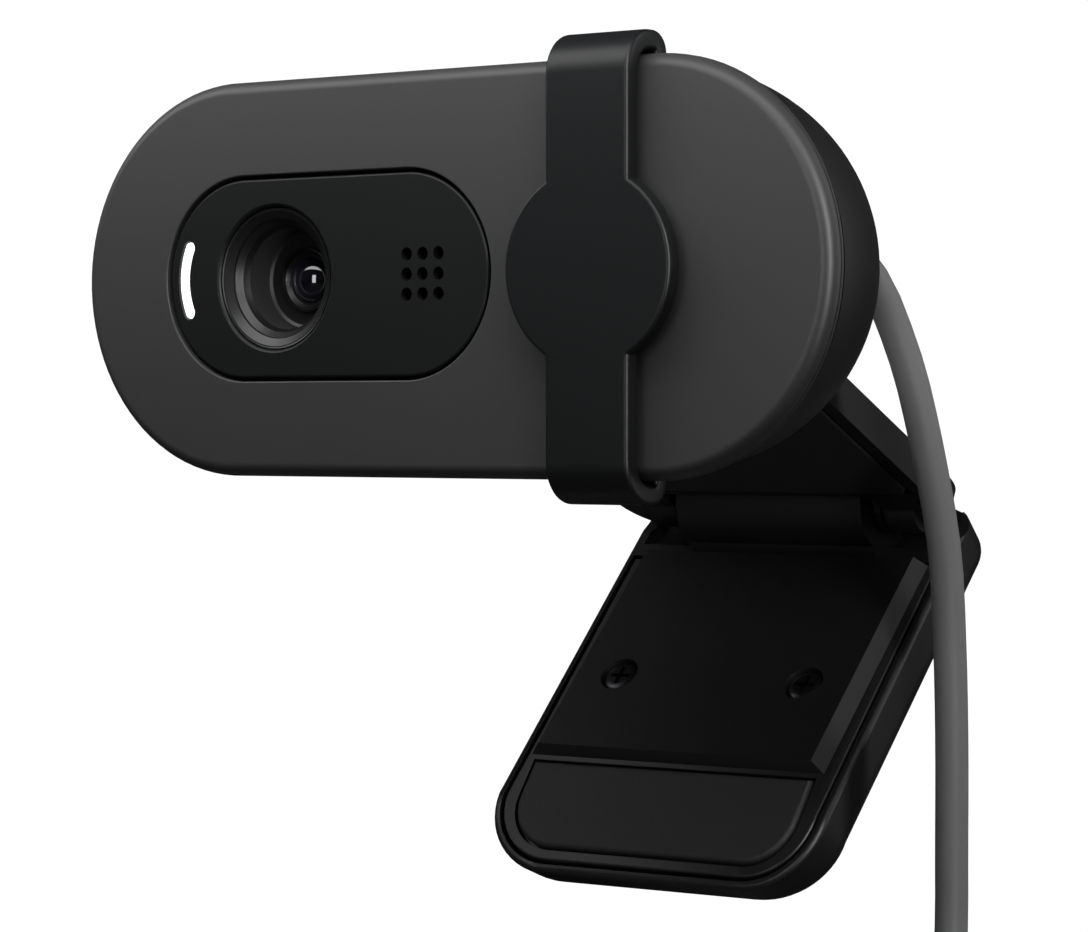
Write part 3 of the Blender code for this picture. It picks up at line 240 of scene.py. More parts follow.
def grain_group():
    """Fine moulded grain: a slow mottle for colour and shine, and a fine one for height."""
    group = bpy.data.node_groups.new("moulded_grain", "ShaderNodeTree")
    for name, kind, value in (("Dark", "NodeSocketColor", (0.02, 0.02, 0.02, 1.0)),
                              ("Light", "NodeSocketColor", (0.03, 0.03, 0.03, 1.0)),
                              ("Shine Low", "NodeSocketFloat", 0.4), ("Shine High", "NodeSocketFloat", 0.5),
                              ("Grain Size", "NodeSocketFloat", 4000.0), ("Mottle Size", "NodeSocketFloat", 120.0),
                              ("Relief", "NodeSocketFloat", 0.1)):
        group.interface.new_socket(name, in_out="INPUT", socket_type=kind).default_value = value
    for name, kind in (("Colour", "NodeSocketColor"), ("Roughness", "NodeSocketFloat"),
                       ("Normal", "NodeSocketVector")):
        group.interface.new_socket(name, in_out="OUTPUT", socket_type=kind)
    nodes, links = group.nodes, group.links
    inside, outside = nodes.new("NodeGroupInput"), nodes.new("NodeGroupOutput")
    place = nodes.new("ShaderNodeTexCoord")
    mottle, fine = nodes.new("ShaderNodeTexNoise"), nodes.new("ShaderNodeTexNoise")
    for noise, size, detail in ((mottle, "Mottle Size", 3.0), (fine, "Grain Size", 2.0)):
        noise.inputs["Detail"].default_value = detail
        links.new(place.outputs["Object"], noise.inputs["Vector"])
        links.new(inside.outputs[size], noise.inputs["Scale"])
    blend = nodes.new("ShaderNodeMix")
    blend.data_type = "RGBA"
    links.new(mottle.outputs["Fac"], blend.inputs[0])
    links.new(inside.outputs["Dark"], blend.inputs[6])
    links.new(inside.outputs["Light"], blend.inputs[7])
    links.new(blend.outputs[2], outside.inputs["Colour"])
    shine = nodes.new("ShaderNodeMapRange")
    links.new(fine.outputs["Fac"], shine.inputs["Value"])
    links.new(inside.outputs["Shine Low"], shine.inputs["To Min"])
    links.new(inside.outputs["Shine High"], shine.inputs["To Max"])
    links.new(shine.outputs["Result"], outside.inputs["Roughness"])
    bump = nodes.new("ShaderNodeBump")
    bump.inputs["Distance"].default_value = 0.05 * MM
    links.new(inside.outputs["Relief"], bump.inputs["Strength"])
    links.new(fine.outputs["Fac"], bump.inputs["Height"])
    links.new(bump.outputs["Normal"], outside.inputs["Normal"])
    return group


MOULDED = grain_group()


def moulded(name, dark, light, shine, grain, relief, mottle=120.0, gloss=0.5):
    """A moulded plastic or rubber finish: two close colours, a range of shine and a fine grain."""
    finish = bpy.data.materials.new(name)
    finish.use_nodes = True
    nodes, links = finish.node_tree.nodes, finish.node_tree.links
    surface = nodes.new("ShaderNodeGroup")
    surface.node_tree = MOULDED
    surface.inputs["Dark"].default_value = (*dark, 1.0)
    surface.inputs["Light"].default_value = (*light, 1.0)
    surface.inputs["Shine Low"].default_value = shine[0]
    surface.inputs["Shine High"].default_value = shine[1]
    surface.inputs["Grain Size"].default_value = grain
    surface.inputs["Mottle Size"].default_value = mottle
    surface.inputs["Relief"].default_value = relief
    shader = nodes["Principled BSDF"]
    links.new(surface.outputs["Colour"], shader.inputs["Base Color"])
    links.new(surface.outputs["Roughness"], shader.inputs["Roughness"])
    links.new(surface.outputs["Normal"], shader.inputs["Normal"])
    shader.inputs["Specular IOR Level"].default_value = gloss
    return finish


SHEATH = moulded("soft_grey_sheath", (0.3, 0.3, 0.305), (0.34, 0.34, 0.345), (0.5, 0.62), 2600.0, 0.25)
SHEATH.node_tree.nodes["Principled BSDF"].inputs["Sheen Weight"].default_value = 0.15
lead.data.materials.clear()
lead.data.materials.append(SHEATH)
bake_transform(lead)
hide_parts("cable", "cable_coil", "cable_tail")

# ---- front shell --------------------------------------------------------------------------------
# The graphite face of the head: a pill-shaped moulding with a rounded edge, a fine witness groove round
# its rim, and a lip at the back that plugs into the rear cover.
HEAD_WIDTH, HEAD_HEIGHT = 72.9 * MM, 31.9 * MM
RIM_DEPTH = 1.6 * MM
EDGE_ROUND = 1.1 * MM


def choose(obj, kind, test):
    """Go to edit mode with only the verts, edges or faces that pass the test selected."""
    if bpy.context.mode != "OBJECT":
        bpy.ops.object.mode_set(mode="OBJECT")
    bpy.ops.object.select_all(action="DESELECT")
    bpy.context.view_layer.objects.active = obj
    obj.select_set(True)
    bpy.ops.object.mode_set(mode="EDIT")
    bpy.ops.mesh.select_mode(type={"verts": "VERT", "edges": "EDGE", "faces": "FACE"}[kind])
    bpy.ops.mesh.select_all(action="DESELECT")
    shape = bmesh.from_edit_mesh(obj.data)
    for part in getattr(shape, kind):
        if test(part):
            part.select_set(True)
    bmesh.update_edit_mesh(obj.data)


def pill(name, width, height, y0, y1, x=0.0, z=0.0, sides=96):
    """A prism with a pill-shaped face that looks to the front; modelled from the head's middle."""
    bpy.ops.object.select_all(action="DESELECT")
    bpy.ops.mesh.primitive_cylinder_add(vertices=sides, radius=height / 2, depth=y1 - y0)
    obj = bpy.context.object
    obj.name = name
    obj.data.transform(Matrix.Rotation(math.pi / sides, 4, "Z"))
    obj.data.transform(Matrix.Rotation(math.pi / 2, 4, "X"))
    for side in (-1, 1):
        choose(obj, "verts", lambda v: v.co.x * side > 0)
        bpy.ops.transform.translate(value=(side * (width - height) / 2, 0.0, 0.0))
    bpy.ops.object.mode_set(mode="OBJECT")
    obj.data.transform(Matrix.Translation((x, (y0 + y1) / 2, z)))
    return obj


def end_face(obj, side):
    """Select the face that looks furthest to the front (-1) or to the back (1)."""
    far = max((side * face.center.y for face in obj.data.polygons if side * face.normal.y > 0.9))
    choose(obj, "faces", lambda f: side * f.normal.y > 0.9 and side * f.calc_center_median().y > far - 0.01 * MM)


def step_in(obj, side, steps):
    """From an end face, draw in and push out again and again; each step is (in, out)."""
    end_face(obj, side)
    for drawn, pushed in steps:
        bpy.ops.mesh.inset(thickness=max(drawn, 0.0005 * MM), depth=pushed, use_even_offset=True)
    bpy.ops.object.mode_set(mode="OBJECT")


def change(obj, kind, **values):
    """Add one modifier and apply it."""
    bpy.ops.object.select_all(action="DESELECT")
    bpy.context.view_layer.objects.active = obj
    obj.select_set(True)
    modifier = obj.modifiers.new(kind.lower(), kind)
    for key, value in values.items():
        setattr(modifier, key, value)
    bpy.ops.object.modifier_apply(modifier=modifier.name)


def carve(obj, tool, how="DIFFERENCE"):
    """Cut or join with another solid, which is used up."""
    change(obj, "BOOLEAN", operation=how, solver="EXACT", object=tool)
    bpy.data.objects.remove(tool, do_unlink=True)


def put(obj, finish, body, slot, *stands_for, at=HEAD, turn=0.0, angle=32):
    """Set a finished piece down in its place, give it its material and let it ride on its body."""
    bpy.ops.object.select_all(action="DESELECT")
    bpy.context.view_layer.objects.active = obj
    obj.select_set(True)
    obj.rotation_euler = (turn, 0.0, 0.0)
    obj.location = at
    bpy.ops.object.transform_apply(location=True, rotation=True, scale=True)
    bpy.ops.object.shade_smooth_by_angle(angle=math.radians(angle))
    change(obj, "WEIGHTED_NORMAL", keep_sharp=True, weight=80)
    obj.data.materials.clear()
    obj.data.materials.append(finish)
    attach(obj, body)
    if stands_for:
        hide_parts(*stands_for)
    return obj


GRAPHITE = moulded("graphite_face", (0.058, 0.058, 0.06), (0.064, 0.064, 0.066), (0.4, 0.48), 5200.0, 0.12, 60.0, 0.4)
face = pill("front_face", HEAD_WIDTH, HEAD_HEIGHT, 0.0, RIM_DEPTH)
step_in(face, 1, [(2.2 * MM, 0.0), (0.0, 2.6 * MM), (1.1 * MM, 0.0), (0.0, -2.7 * MM)])
choose(face, "edges", lambda e: all(abs(v.co.y) < 0.01 * MM for v in e.verts))
bpy.ops.mesh.bevel(offset=EDGE_ROUND, segments=9, affect="EDGES")
bpy.ops.object.mode_set(mode="OBJECT")
for depth in (1.22 * MM, 1.34 * MM):
    choose(face, "faces", lambda f: abs(f.normal.y) < 0.05 and f.calc_center_median().y < RIM_DEPTH)
    bpy.ops.mesh.bisect(plane_co=(0.0, depth, 0.0), plane_no=(0.0, 1.0, 0.0))
choose(face, "faces", lambda f: abs(f.normal.y) < 0.05 and 1.22 * MM < f.calc_center_median().y < 1.34 * MM)
bpy.ops.mesh.extrude_region_shrink_fatten(TRANSFORM_OT_shrink_fatten={"value": -0.14 * MM})
bpy.ops.object.mode_set(mode="OBJECT")
carve(face, pill("opening", 33.2 * MM, 16.6 * MM, -1.0 * MM, 4.0 * MM, x=-10.8 * MM))
choose(face, "edges", lambda e: all(abs(v.co.y) < 0.01 * MM and abs(v.co.z) < 9 * MM and v.co.x < 8 * MM
                                   for v in e.verts))
bpy.ops.mesh.bevel(offset=0.14 * MM, segments=3, affect="EDGES")
bpy.ops.object.mode_set(mode="OBJECT")
put(face, GRAPHITE, "head", "graphite_plastic", "front_shell")

# ---- face insert --------------------------------------------------------------------------------
# A black pill plate that sits a hair below the face, with a wide dished hole for the lens, a curved
# slot for the light and nine small holes for the microphone.
INSERT_X = -10.8 * MM
LENS_X = -16.1 * MM
MIC_X, MIC_PITCH = -0.95 * MM, 1.57 * MM
BLACK = moulded("black_moulding", (0.0078, 0.0084, 0.009), (0.01, 0.0107, 0.0113), (0.4, 0.48), 5200.0, 0.12,
                60.0, 0.26)


def round_bar(name, radius, y0, y1, x, z, sides=48):
    """A short cylinder along the viewing direction."""
    bpy.ops.object.select_all(action="DESELECT")
    bpy.ops.mesh.primitive_cylinder_add(vertices=sides, radius=radius, depth=y1 - y0)
    obj = bpy.context.object
    obj.name = name
    obj.data.transform(Matrix.Rotation(math.pi / 2, 4, "X"))
    obj.data.transform(Matrix.Translation((x, (y0 + y1) / 2, z)))
    return obj


def bent_slot(name, width, y0, y1):
    """A round-ended slot bent round the insert's left end."""
    centre_x, bend_r = INSERT_X - 8.3 * MM, 6.55 * MM
    slot = pill(name, 5.4 * MM + width, width, y0, y1, sides=24)
    choose(slot, "edges", lambda e: abs(e.verts[0].co.x - e.verts[1].co.x) > 4 * MM)
    bpy.ops.mesh.subdivide(number_cuts=14)
    bpy.ops.object.mode_set(mode="OBJECT")
    for v in slot.data.vertices:
        angle = v.co.x / bend_r
        r = bend_r + v.co.z
        v.co = (centre_x - r * math.cos(angle), v.co.y, r * math.sin(angle))
    return slot


plate = pill("face_plate", 32.6 * MM, 16.0 * MM, 0.15 * MM, 2.6 * MM, x=INSERT_X)
choose(plate, "edges", lambda e: all(v.co.y < 0.2 * MM for v in e.verts))
bpy.ops.mesh.bevel(offset=0.22 * MM, segments=4, affect="EDGES")
bpy.ops.object.mode_set(mode="OBJECT")
carve(plate, round_bar("hole", 5.75 * MM, -1.0 * MM, 4.0 * MM, LENS_X, 0.0, sides=96))
choose(plate, "edges", lambda e: all(v.co.y < 0.2 * MM and (v.co - Vector((LENS_X, v.co.y, 0.0))).length < 5.8 * MM
                                     for v in e.verts))
bpy.ops.mesh.bevel(offset=0.32 * MM, segments=4, profile=0.4, affect="EDGES")
bpy.ops.object.mode_set(mode="OBJECT")
carve(plate, bent_slot("slot", 1.2 * MM, -1.0 * MM, 4.0 * MM))
for column in (-1, 0, 1):
    for row in (-1, 0, 1):
        carve(plate, round_bar("hole", 0.53 * MM, -1.0 * MM, 4.0 * MM, MIC_X + column * MIC_PITCH, row * MIC_PITCH,
                               sides=20))
put(plate, BLACK, "head", "black_plastic", "face_insert")

# ---- light slit ---------------------------------------------------------------------------------
# A clear white light pipe that fills the curved slot and glows evenly while the camera is on.
LIT = bpy.data.materials.new("lit_light_pipe")
LIT.use_nodes = True
nodes, links = LIT.node_tree.nodes, LIT.node_tree.links
spread = nodes.new("ShaderNodeTexNoise")
spread.inputs["Scale"].default_value = 300.0
even = nodes.new("ShaderNodeMapRange")
even.inputs["To Min"].default_value = 0.92
even.inputs["To Max"].default_value = 1.0
place = nodes.new("ShaderNodeTexCoord")
links.new(place.outputs["Object"], spread.inputs["Vector"])
links.new(spread.outputs["Fac"], even.inputs["Value"])
links.new(even.outputs["Result"], nodes["Principled BSDF"].inputs["Emission Color"])
nodes["Principled BSDF"].inputs["Base Color"].default_value = (0.85, 0.87, 0.9, 1.0)
nodes["Principled BSDF"].inputs["Roughness"].default_value = 0.25
nodes["Principled BSDF"].inputs["Emission Strength"].default_value = 1.6
light = bent_slot("light_slit", 0.96 * MM, 0.16 * MM, 6.0 * MM)
choose(light, "edges", lambda e: all(v.co.y < 0.2 * MM for v in e.verts))
bpy.ops.mesh.bevel(offset=0.2 * MM, segments=3, affect="EDGES")
bpy.ops.object.mode_set(mode="OBJECT")
put(light, LIT, "head", "light_pipe", "led_light_pipe")

# ---- lens hood and lens -------------------------------------------------------------------------
# A stepped black funnel that keeps stray light out, the lens barrel's ringed front behind it, and a
# small strongly curved front lens with a dark blue coating.
hood = round_bar("lens_funnel", 5.65 * MM, 0.4 * MM, 5.9 * MM, LENS_X, 0.0, sides=96)
step_in(hood, -1, [(0.1 * MM, -0.04 * MM), (0.08 * MM, 0.0), (0.62 * MM, -0.42 * MM), (0.06 * MM, -0.16 * MM),
                   (0.46 * MM, -0.46 * MM), (0.05 * MM, -0.12 * MM), (0.22 * MM, -0.42 * MM), (0.12 * MM, -2.3 * MM),
                   (0.25 * MM, -0.12 * MM), (0.4 * MM, -0.03 * MM), (0.6 * MM, 0.0), (0.06 * MM, 0.25 * MM),
                   (0.2 * MM, 0.04 * MM), (0.08 * MM, -0.3 * MM), (0.3 * MM, -0.3 * MM)])
DEEP_BLACK = moulded("funnel_black", (0.006, 0.006, 0.007), (0.009, 0.009, 0.01), (0.28, 0.38), 5200.0, 0.1, 90.0)
put(hood, DEEP_BLACK, "head", "black_plastic", "lens_hood", "lens_barrel", angle=20)
# The tube's side walls deep inside the funnel get a near-black, very rough finish, darker than the funnel's own
# black: painted shade inside the tube.
hood.data.materials.append(moulded("flocked_throat", (0.0015, 0.0015, 0.0015), (0.003, 0.003, 0.003),
                                   (0.75, 0.85), 5200.0, 0.1))
for wall in hood.data.polygons:
    depth = wall.center.y - HEAD.y
    wall.material_index = int(2.0 * MM < depth < 4.25 * MM and abs(wall.normal.y) < 0.3)

COATED = bpy.data.materials.new("coated_glass")
COATED.use_nodes = True
nodes, links = COATED.node_tree.nodes, COATED.node_tree.links
edge = nodes.new("ShaderNodeLayerWeight")
edge.inputs["Blend"].default_value = 0.35
tint = nodes.new("ShaderNodeMix")
tint.data_type = "RGBA"
tint.inputs[6].default_value = (0.002, 0.003, 0.006, 1.0)
tint.inputs[7].default_value = (0.03, 0.02, 0.06, 1.0)
links.new(edge.outputs["Facing"], tint.inputs[0])
links.new(tint.outputs[2], nodes["Principled BSDF"].inputs["Base Color"])
nodes["Principled BSDF"].inputs["Roughness"].default_value = 0.04
nodes["Principled BSDF"].inputs["IOR"].default_value = 1.7
nodes["Principled BSDF"].inputs["Coat Weight"].default_value = 0.6
nodes["Principled BSDF"].inputs["Coat Roughness"].default_value = 0.02
bpy.ops.object.select_all(action="DESELECT")
bpy.ops.mesh.primitive_uv_sphere_add(segments=64, ring_count=48, radius=2.6 * MM)
dome = bpy.context.object
dome.name = "front_element"
dome.data.transform(Matrix.Rotation(math.pi / 2, 4, "X"))
dome.data.transform(Matrix.Translation((LENS_X, 6.55 * MM, 0.0)))
choose(dome, "verts", lambda v: True)
bpy.ops.mesh.bisect(plane_co=(0.0, 4.95 * MM, 0.0), plane_no=(0.0, 1.0, 0.0), clear_outer=True, use_fill=True)
bpy.ops.object.mode_set(mode="OBJECT")
put(dome, COATED, "head", "lens_glass", "front_lens")

# ---- rear cover ---------------------------------------------------------------------------------
# The black domed back of the head, a moulding drawn in all round towards a flat back. It has a groove
# top and bottom for the shutter's hooks, a hole for the lead and two lugs for the tilt pin.
COVER_Y = 2.75 * MM
cover = pill("domed_back", HEAD_WIDTH - 1.2 * MM, HEAD_HEIGHT - 1.2 * MM, COVER_Y, COVER_Y + 0.2 * MM)
dome_steps = []
for k in range(20):
    a, b = (math.radians(2.35 + 87.65 * j / 20) for j in (k, k + 1))
    dome_steps.append((8.6 * MM * (math.cos(a) - math.cos(b)), 13.4 * MM * (math.sin(b) - math.sin(a))))
step_in(cover, 1, dome_steps)
step_in(cover, -1, [(1.5 * MM, 0.0), (0.0, -1.0 * MM), (0.9 * MM, -4.7 * MM)])
for side in (-1, 1):
    bpy.ops.object.select_all(action="DESELECT")
    bpy.ops.mesh.primitive_cube_add(size=1.0)
    groove = bpy.context.object
    groove.data.transform(Matrix.Diagonal((41.0 * MM, 4.0 * MM, 4.0 * MM, 1.0)))
    groove.data.transform(Matrix.Translation((0.0, 2.0 * MM, side * (14.25 + 2.0) * MM)))
    choose(groove, "edges", lambda e: all(side * v.co.z < 15 * MM and v.co.y > 3 * MM for v in e.verts))
    bpy.ops.mesh.bevel(offset=0.3 * MM, segments=3, affect="EDGES")
    bpy.ops.object.mode_set(mode="OBJECT")
    carve(cover, groove)
for side in (-1, 1):
    bpy.ops.object.select_all(action="DESELECT")
    bpy.ops.mesh.primitive_cylinder_add(vertices=48, radius=3.1 * MM, depth=3.0 * MM)
    lug = bpy.context.object
    lug.data.transform(Matrix.Rotation(math.pi / 2, 4, "Y"))
    choose(lug, "verts", lambda v: v.co.y < -0.01 * MM)
    bpy.ops.transform.resize(value=(1.0, 0.0, 1.0), center_override=(0.0, -4.6 * MM, 0.0))
    bpy.ops.object.mode_set(mode="OBJECT")
    change(lug, "BEVEL", width=0.35 * MM, segments=3, limit_method="ANGLE", angle_limit=math.radians(50))
    lug.data.transform(Matrix.Translation(TILT - HEAD + Vector((side * 7.8 * MM, 0.0, 0.0))))
    carve(cover, lug, "UNION")
carve(cover, round_bar("hole", 2.8 * MM, 12.0 * MM, 18.0 * MM, 21.0 * MM, 3.2 * MM))
SATIN = moulded("satin_back", (0.009, 0.009, 0.0103), (0.0115, 0.0115, 0.0128), (0.4, 0.5), 5200.0, 0.12, 60.0)
put(cover, SATIN, "head", "black_plastic", "rear_cover")

# ---- privacy shutter ----------------------------------------------------------------------------
# A flat strap with a round middle that slides along the head. Its ends bend over the top and the
# bottom of the shell and hook into the rear cover's grooves; all its edges are slightly rounded.
SHUTTER_X = 16.2 * MM
STRAP_WIDTH, STRAP_THICK, STRAP_FACE = 7.6 * MM, 1.5 * MM, -2.1 * MM
DISC_R, STRAP_EDGE = 7.58 * MM, 0.34 * MM
profile = [(3.3 * MM, 15.3 * MM)]
for (y, z), radius, start in (((1.6 * MM, 16.1 * MM), 1.7 * MM, 0), ((1.1 * MM, 14.6 * MM), 3.2 * MM, 90)):
    for k in range(11):
        turn = math.radians(start + 9 * k)
        profile.append((y + radius * math.cos(turn), z + radius * math.sin(turn)))
profile += [(STRAP_FACE, 11.0 * MM), (STRAP_FACE, 7.0 * MM), (STRAP_FACE, 3.0 * MM)]
profile += [(y, -z) for y, z in reversed(profile)]
bpy.ops.object.select_all(action="DESELECT")
bpy.ops.mesh.primitive_plane_add(size=STRAP_WIDTH)
strap = bpy.context.object
strap.name = "shutter"
choose(strap, "verts", lambda v: v.co.y > 0)
bpy.ops.mesh.delete(type="VERT")
bpy.ops.object.mode_set(mode="OBJECT")
strap.data.transform(Matrix.Translation((0.0, profile[0][0] + STRAP_WIDTH / 2, profile[0][1])))
choose(strap, "verts", lambda v: True)
bpy.ops.mesh.select_mode(type="EDGE")
bpy.ops.mesh.select_all(action="SELECT")
for (y0, z0), (y1, z1) in zip(profile, profile[1:]):
    bpy.ops.mesh.extrude_region_move(TRANSFORM_OT_translate={"value": (0.0, y1 - y0, z1 - z0)})
bpy.ops.mesh.select_all(action="SELECT")
bpy.ops.mesh.normals_make_consistent(inside=False)
bpy.ops.object.mode_set(mode="OBJECT")
front = max(strap.data.polygons, key=lambda face: -face.center.y)
change(strap, "SOLIDIFY", thickness=STRAP_THICK, offset=-1.0 if front.normal.y < 0 else 1.0, use_even_offset=True)
choose(strap, "faces", lambda f: True)
bpy.ops.mesh.normals_make_consistent(inside=False)
bpy.ops.object.mode_set(mode="OBJECT")
disc = round_bar("disc", DISC_R, STRAP_FACE, STRAP_FACE + STRAP_THICK, 0.0, 0.0, sides=128)
for piece in (strap, disc):
    change(piece, "BEVEL", width=STRAP_EDGE, segments=5, limit_method="ANGLE", angle_limit=math.radians(40))
carve(strap, disc, "UNION")
strap.data.transform(Matrix.Translation((SHUTTER_X, 0.0, 0.0)))
SHUTTER = moulded("shutter_black", (0.0105, 0.0112, 0.012), (0.013, 0.0138, 0.0147), (0.34, 0.42), 5200.0, 0.1,
                  60.0, 0.28)
put(strap, SHUTTER, "slider", "black_plastic", "privacy_slider")

# ---- arm ----------------------------------------------------------------------------------------
# A flat black arm moulded in one piece: a narrow neck with a barrel round the tilt pin, a broad plate,
# two side rails under it, and two lugs at the rear that hold the fold pin.
ARM_LENGTH = (FOLD - TILT).length


def slab(name, x0, x1, y0, y1, z0, z1):
    """A box between two corners, to be shaped."""
    bpy.ops.object.select_all(action="DESELECT")
    bpy.ops.mesh.primitive_cube_add(size=1.0)
    obj = bpy.context.object
    obj.name = name
    obj.data.transform(Matrix.Diagonal((x1 - x0, y1 - y0, z1 - z0, 1.0)))
    obj.data.transform(Matrix.Translation(((x0 + x1) / 2, (y0 + y1) / 2, (z0 + z1) / 2)))
    return obj


def round_edges(obj, radius, segments, test):
    """Bevel the edges that pass the test."""
    choose(obj, "edges", test)
    bpy.ops.mesh.bevel(offset=radius, segments=segments, affect="EDGES")
    bpy.ops.object.mode_set(mode="OBJECT")


def cross_bar(name, radius, x0, x1, y, z, sides=48):
    """A round bar from left to right."""
    bpy.ops.object.select_all(action="DESELECT")
    bpy.ops.mesh.primitive_cylinder_add(vertices=sides, radius=radius, depth=x1 - x0)
    obj = bpy.context.object
    obj.name = name
    obj.data.transform(Matrix.Rotation(math.pi / 2, 4, "Y"))
    obj.data.transform(Matrix.Translation(((x0 + x1) / 2, y, z)))
    return obj


arm = slab("clip_arm", -17 * MM, 17 * MM, 6.2 * MM, ARM_LENGTH + 3.4 * MM, -1.525 * MM, 1.525 * MM)
round_edges(arm, 7.0 * MM, 14, lambda e: all(v.co.y < 7 * MM for v in e.verts)
            and abs(e.verts[0].co.z - e.verts[1].co.z) > MM)
round_edges(arm, 6.0 * MM, 14, lambda e: all(v.co.y > ARM_LENGTH for v in e.verts)
            and abs(e.verts[0].co.z - e.verts[1].co.z) > MM)
neck = slab("neck", -4.9 * MM, 4.9 * MM, 0.0, 9.0 * MM, -1.5 * MM, 1.5 * MM)
choose(neck, "verts", lambda v: v.co.y > 8 * MM)
bpy.ops.transform.resize(value=(1.5, 1.0, 1.0))
bpy.ops.object.mode_set(mode="OBJECT")
carve(arm, neck, "UNION")
carve(arm, cross_bar("barrel", 3.1 * MM, -5.0 * MM, 5.0 * MM, 0.0, 0.0), "UNION")
for side in (-1, 1):
    x0, x1 = sorted((side * 10.95 * MM, side * 13.95 * MM))
    carve(arm, cross_bar("lug", 2.5 * MM, x0, x1, ARM_LENGTH, 0.0), "UNION")
carve(arm, slab("notch", -10.95 * MM, 10.95 * MM, ARM_LENGTH - 4.6 * MM, ARM_LENGTH + 9 * MM, -5 * MM, 5 * MM))
carve(arm, slab("seat", -15.7 * MM, 15.7 * MM, 8.7 * MM, ARM_LENGTH - 5.1 * MM, -3 * MM, -0.475 * MM))
change(arm, "BEVEL", width=0.4 * MM, segments=3, limit_method="ANGLE", angle_limit=math.radians(40))
ARM_BLACK = moulded("clip_black", (0.007, 0.007, 0.0078), (0.009, 0.009, 0.01), (0.4, 0.5), 5200.0, 0.14, 60.0)
put(arm, ARM_BLACK, "arm", "black_plastic", "arm_frame", at=TILT, turn=ARM_TURN)

# ---- grip pad under the arm ---------------------------------------------------------------------
# A thin soft rubber pad with small round corners, pressed into a shallow seat in the arm's underside.
# It is what rests on the monitor.
GRIP = moulded("grip_rubber", (0.012, 0.012, 0.0135), (0.016, 0.016, 0.0175), (0.6, 0.72), 3400.0, 0.3, 80.0)
pad = slab("arm_pad", -15.4 * MM, 15.4 * MM, 9.0 * MM, ARM_LENGTH - 5.4 * MM, -1.675 * MM, -0.775 * MM)
round_edges(pad, 1.2 * MM, 6, lambda e: abs(e.verts[0].co.z - e.verts[1].co.z) > 0.5 * MM)
round_edges(pad, 0.2 * MM, 3, lambda e: all(v.co.z < -1.6 * MM for v in e.verts))
put(pad, GRIP, "arm", "black_rubber", "arm_grip_pad", at=TILT, turn=ARM_TURN)

# ---- leg shell ----------------------------------------------------------------------------------
# The outer tray of the leg: a deep moulding with round corners and a soft back edge. A barrel at its
# top turns on the fold pin between the arm's two lugs.
LEG_FRONT, LEG_BACK = 2.6 * MM, 8.05 * MM
BEND_START, BEND_END, BEND_TURN = 27.5 * MM, 40.0 * MM, math.radians(26)


def bend_end(obj):
    """Cut a leg piece into strips across its lower end and curve that end towards upright."""
    for k in range(14):
        choose(obj, "verts", lambda v: True)
        drop = BEND_START + k * (BEND_END - BEND_START) / 14
        bpy.ops.mesh.bisect(plane_co=(0.0, 0.0, -drop), plane_no=(0.0, 0.0, 1.0))
    bpy.ops.object.mode_set(mode="OBJECT")
    radius = (BEND_END - BEND_START) / BEND_TURN
    for v in obj.data.vertices:
        past = -v.co.z - BEND_START
        if past > 0:
            inner = radius - (v.co.y - LEG_FRONT)
            v.co.y = LEG_FRONT + radius - inner * math.cos(past / radius)
            v.co.z = -BEND_START - inner * math.sin(past / radius)


upright = lambda e: abs(e.verts[0].co.y - e.verts[1].co.y) > 2 * MM
tray = slab("leg_tray", -16.9 * MM, 16.9 * MM, LEG_FRONT, LEG_BACK, -BEND_END, 2.6 * MM)
round_edges(tray, 7.0 * MM, 14, lambda e: upright(e) and all(v.co.z < 0 for v in e.verts))
round_edges(tray, 3.0 * MM, 8, lambda e: upright(e) and all(v.co.z > 0 for v in e.verts))
round_edges(tray, 2.4 * MM, 8, lambda e: all(v.co.y > LEG_BACK - 0.1 * MM for v in e.verts))
round_edges(tray, 0.5 * MM, 4, lambda e: all(v.co.y < LEG_FRONT + 0.1 * MM for v in e.verts))
carve(tray, cross_bar("arm_clearance", 4.1 * MM, -15.7 * MM, 15.7 * MM, 0.0, 0.0))
carve(tray, cross_bar("edge_clearance", 3.05 * MM, -20 * MM, 20 * MM, 0.0, 0.0))
well = slab("well", -16.15 * MM, 16.15 * MM, 0.0, 6.6 * MM, -39.25 * MM, -4.6 * MM)
round_edges(well, 6.25 * MM, 12, lambda e: upright(e) and all(v.co.z < -30 * MM for v in e.verts))
carve(tray, well)
carve(tray, cross_bar("knuckle", 4.2 * MM, -9.65 * MM, 9.65 * MM, 0.0, 0.0, sides=72), "UNION")
web = slab("web", -9.64 * MM, 9.64 * MM, 1.5 * MM, 7.0 * MM, -6.5 * MM, 0.5 * MM)
choose(web, "verts", lambda v: v.co.y < 2 * MM and v.co.z < 0)
bpy.ops.transform.translate(value=(0.0, -0.3 * MM, 2.6 * MM))
bpy.ops.object.mode_set(mode="OBJECT")
carve(tray, web, "UNION")
bend_end(tray)
put(tray, ARM_BLACK, "leg", "black_plastic", "leg_shell", at=FOLD, turn=LEG_TURN)

# ---- leg cover ----------------------------------------------------------------------------------
# The lid of the leg: a raised plateau with slanted sides that ends in a step, and below it a lower
# field that holds the rubber foot. Two sunk holes take the screws.
PLATEAU = 1.5 * MM
SCREW_X, SCREW_Z = 9.55 * MM, -20.0 * MM
lid = slab("leg_lid", -15.85 * MM, 15.85 * MM, LEG_FRONT, 3.95 * MM, -38.95 * MM, -4.9 * MM)
round_edges(lid, 5.95 * MM, 12, lambda e: abs(e.verts[0].co.y - e.verts[1].co.y) > MM
            and all(v.co.z < -30 * MM for v in e.verts))
round_edges(lid, 0.25 * MM, 3, lambda e: all(v.co.y < LEG_FRONT + 0.1 * MM for v in e.verts))
rise = slab("rise", -15.75 * MM, 15.75 * MM, PLATEAU, 3.4 * MM, -29.2 * MM, -4.95 * MM)
choose(rise, "verts", lambda v: v.co.y < 2 * MM)
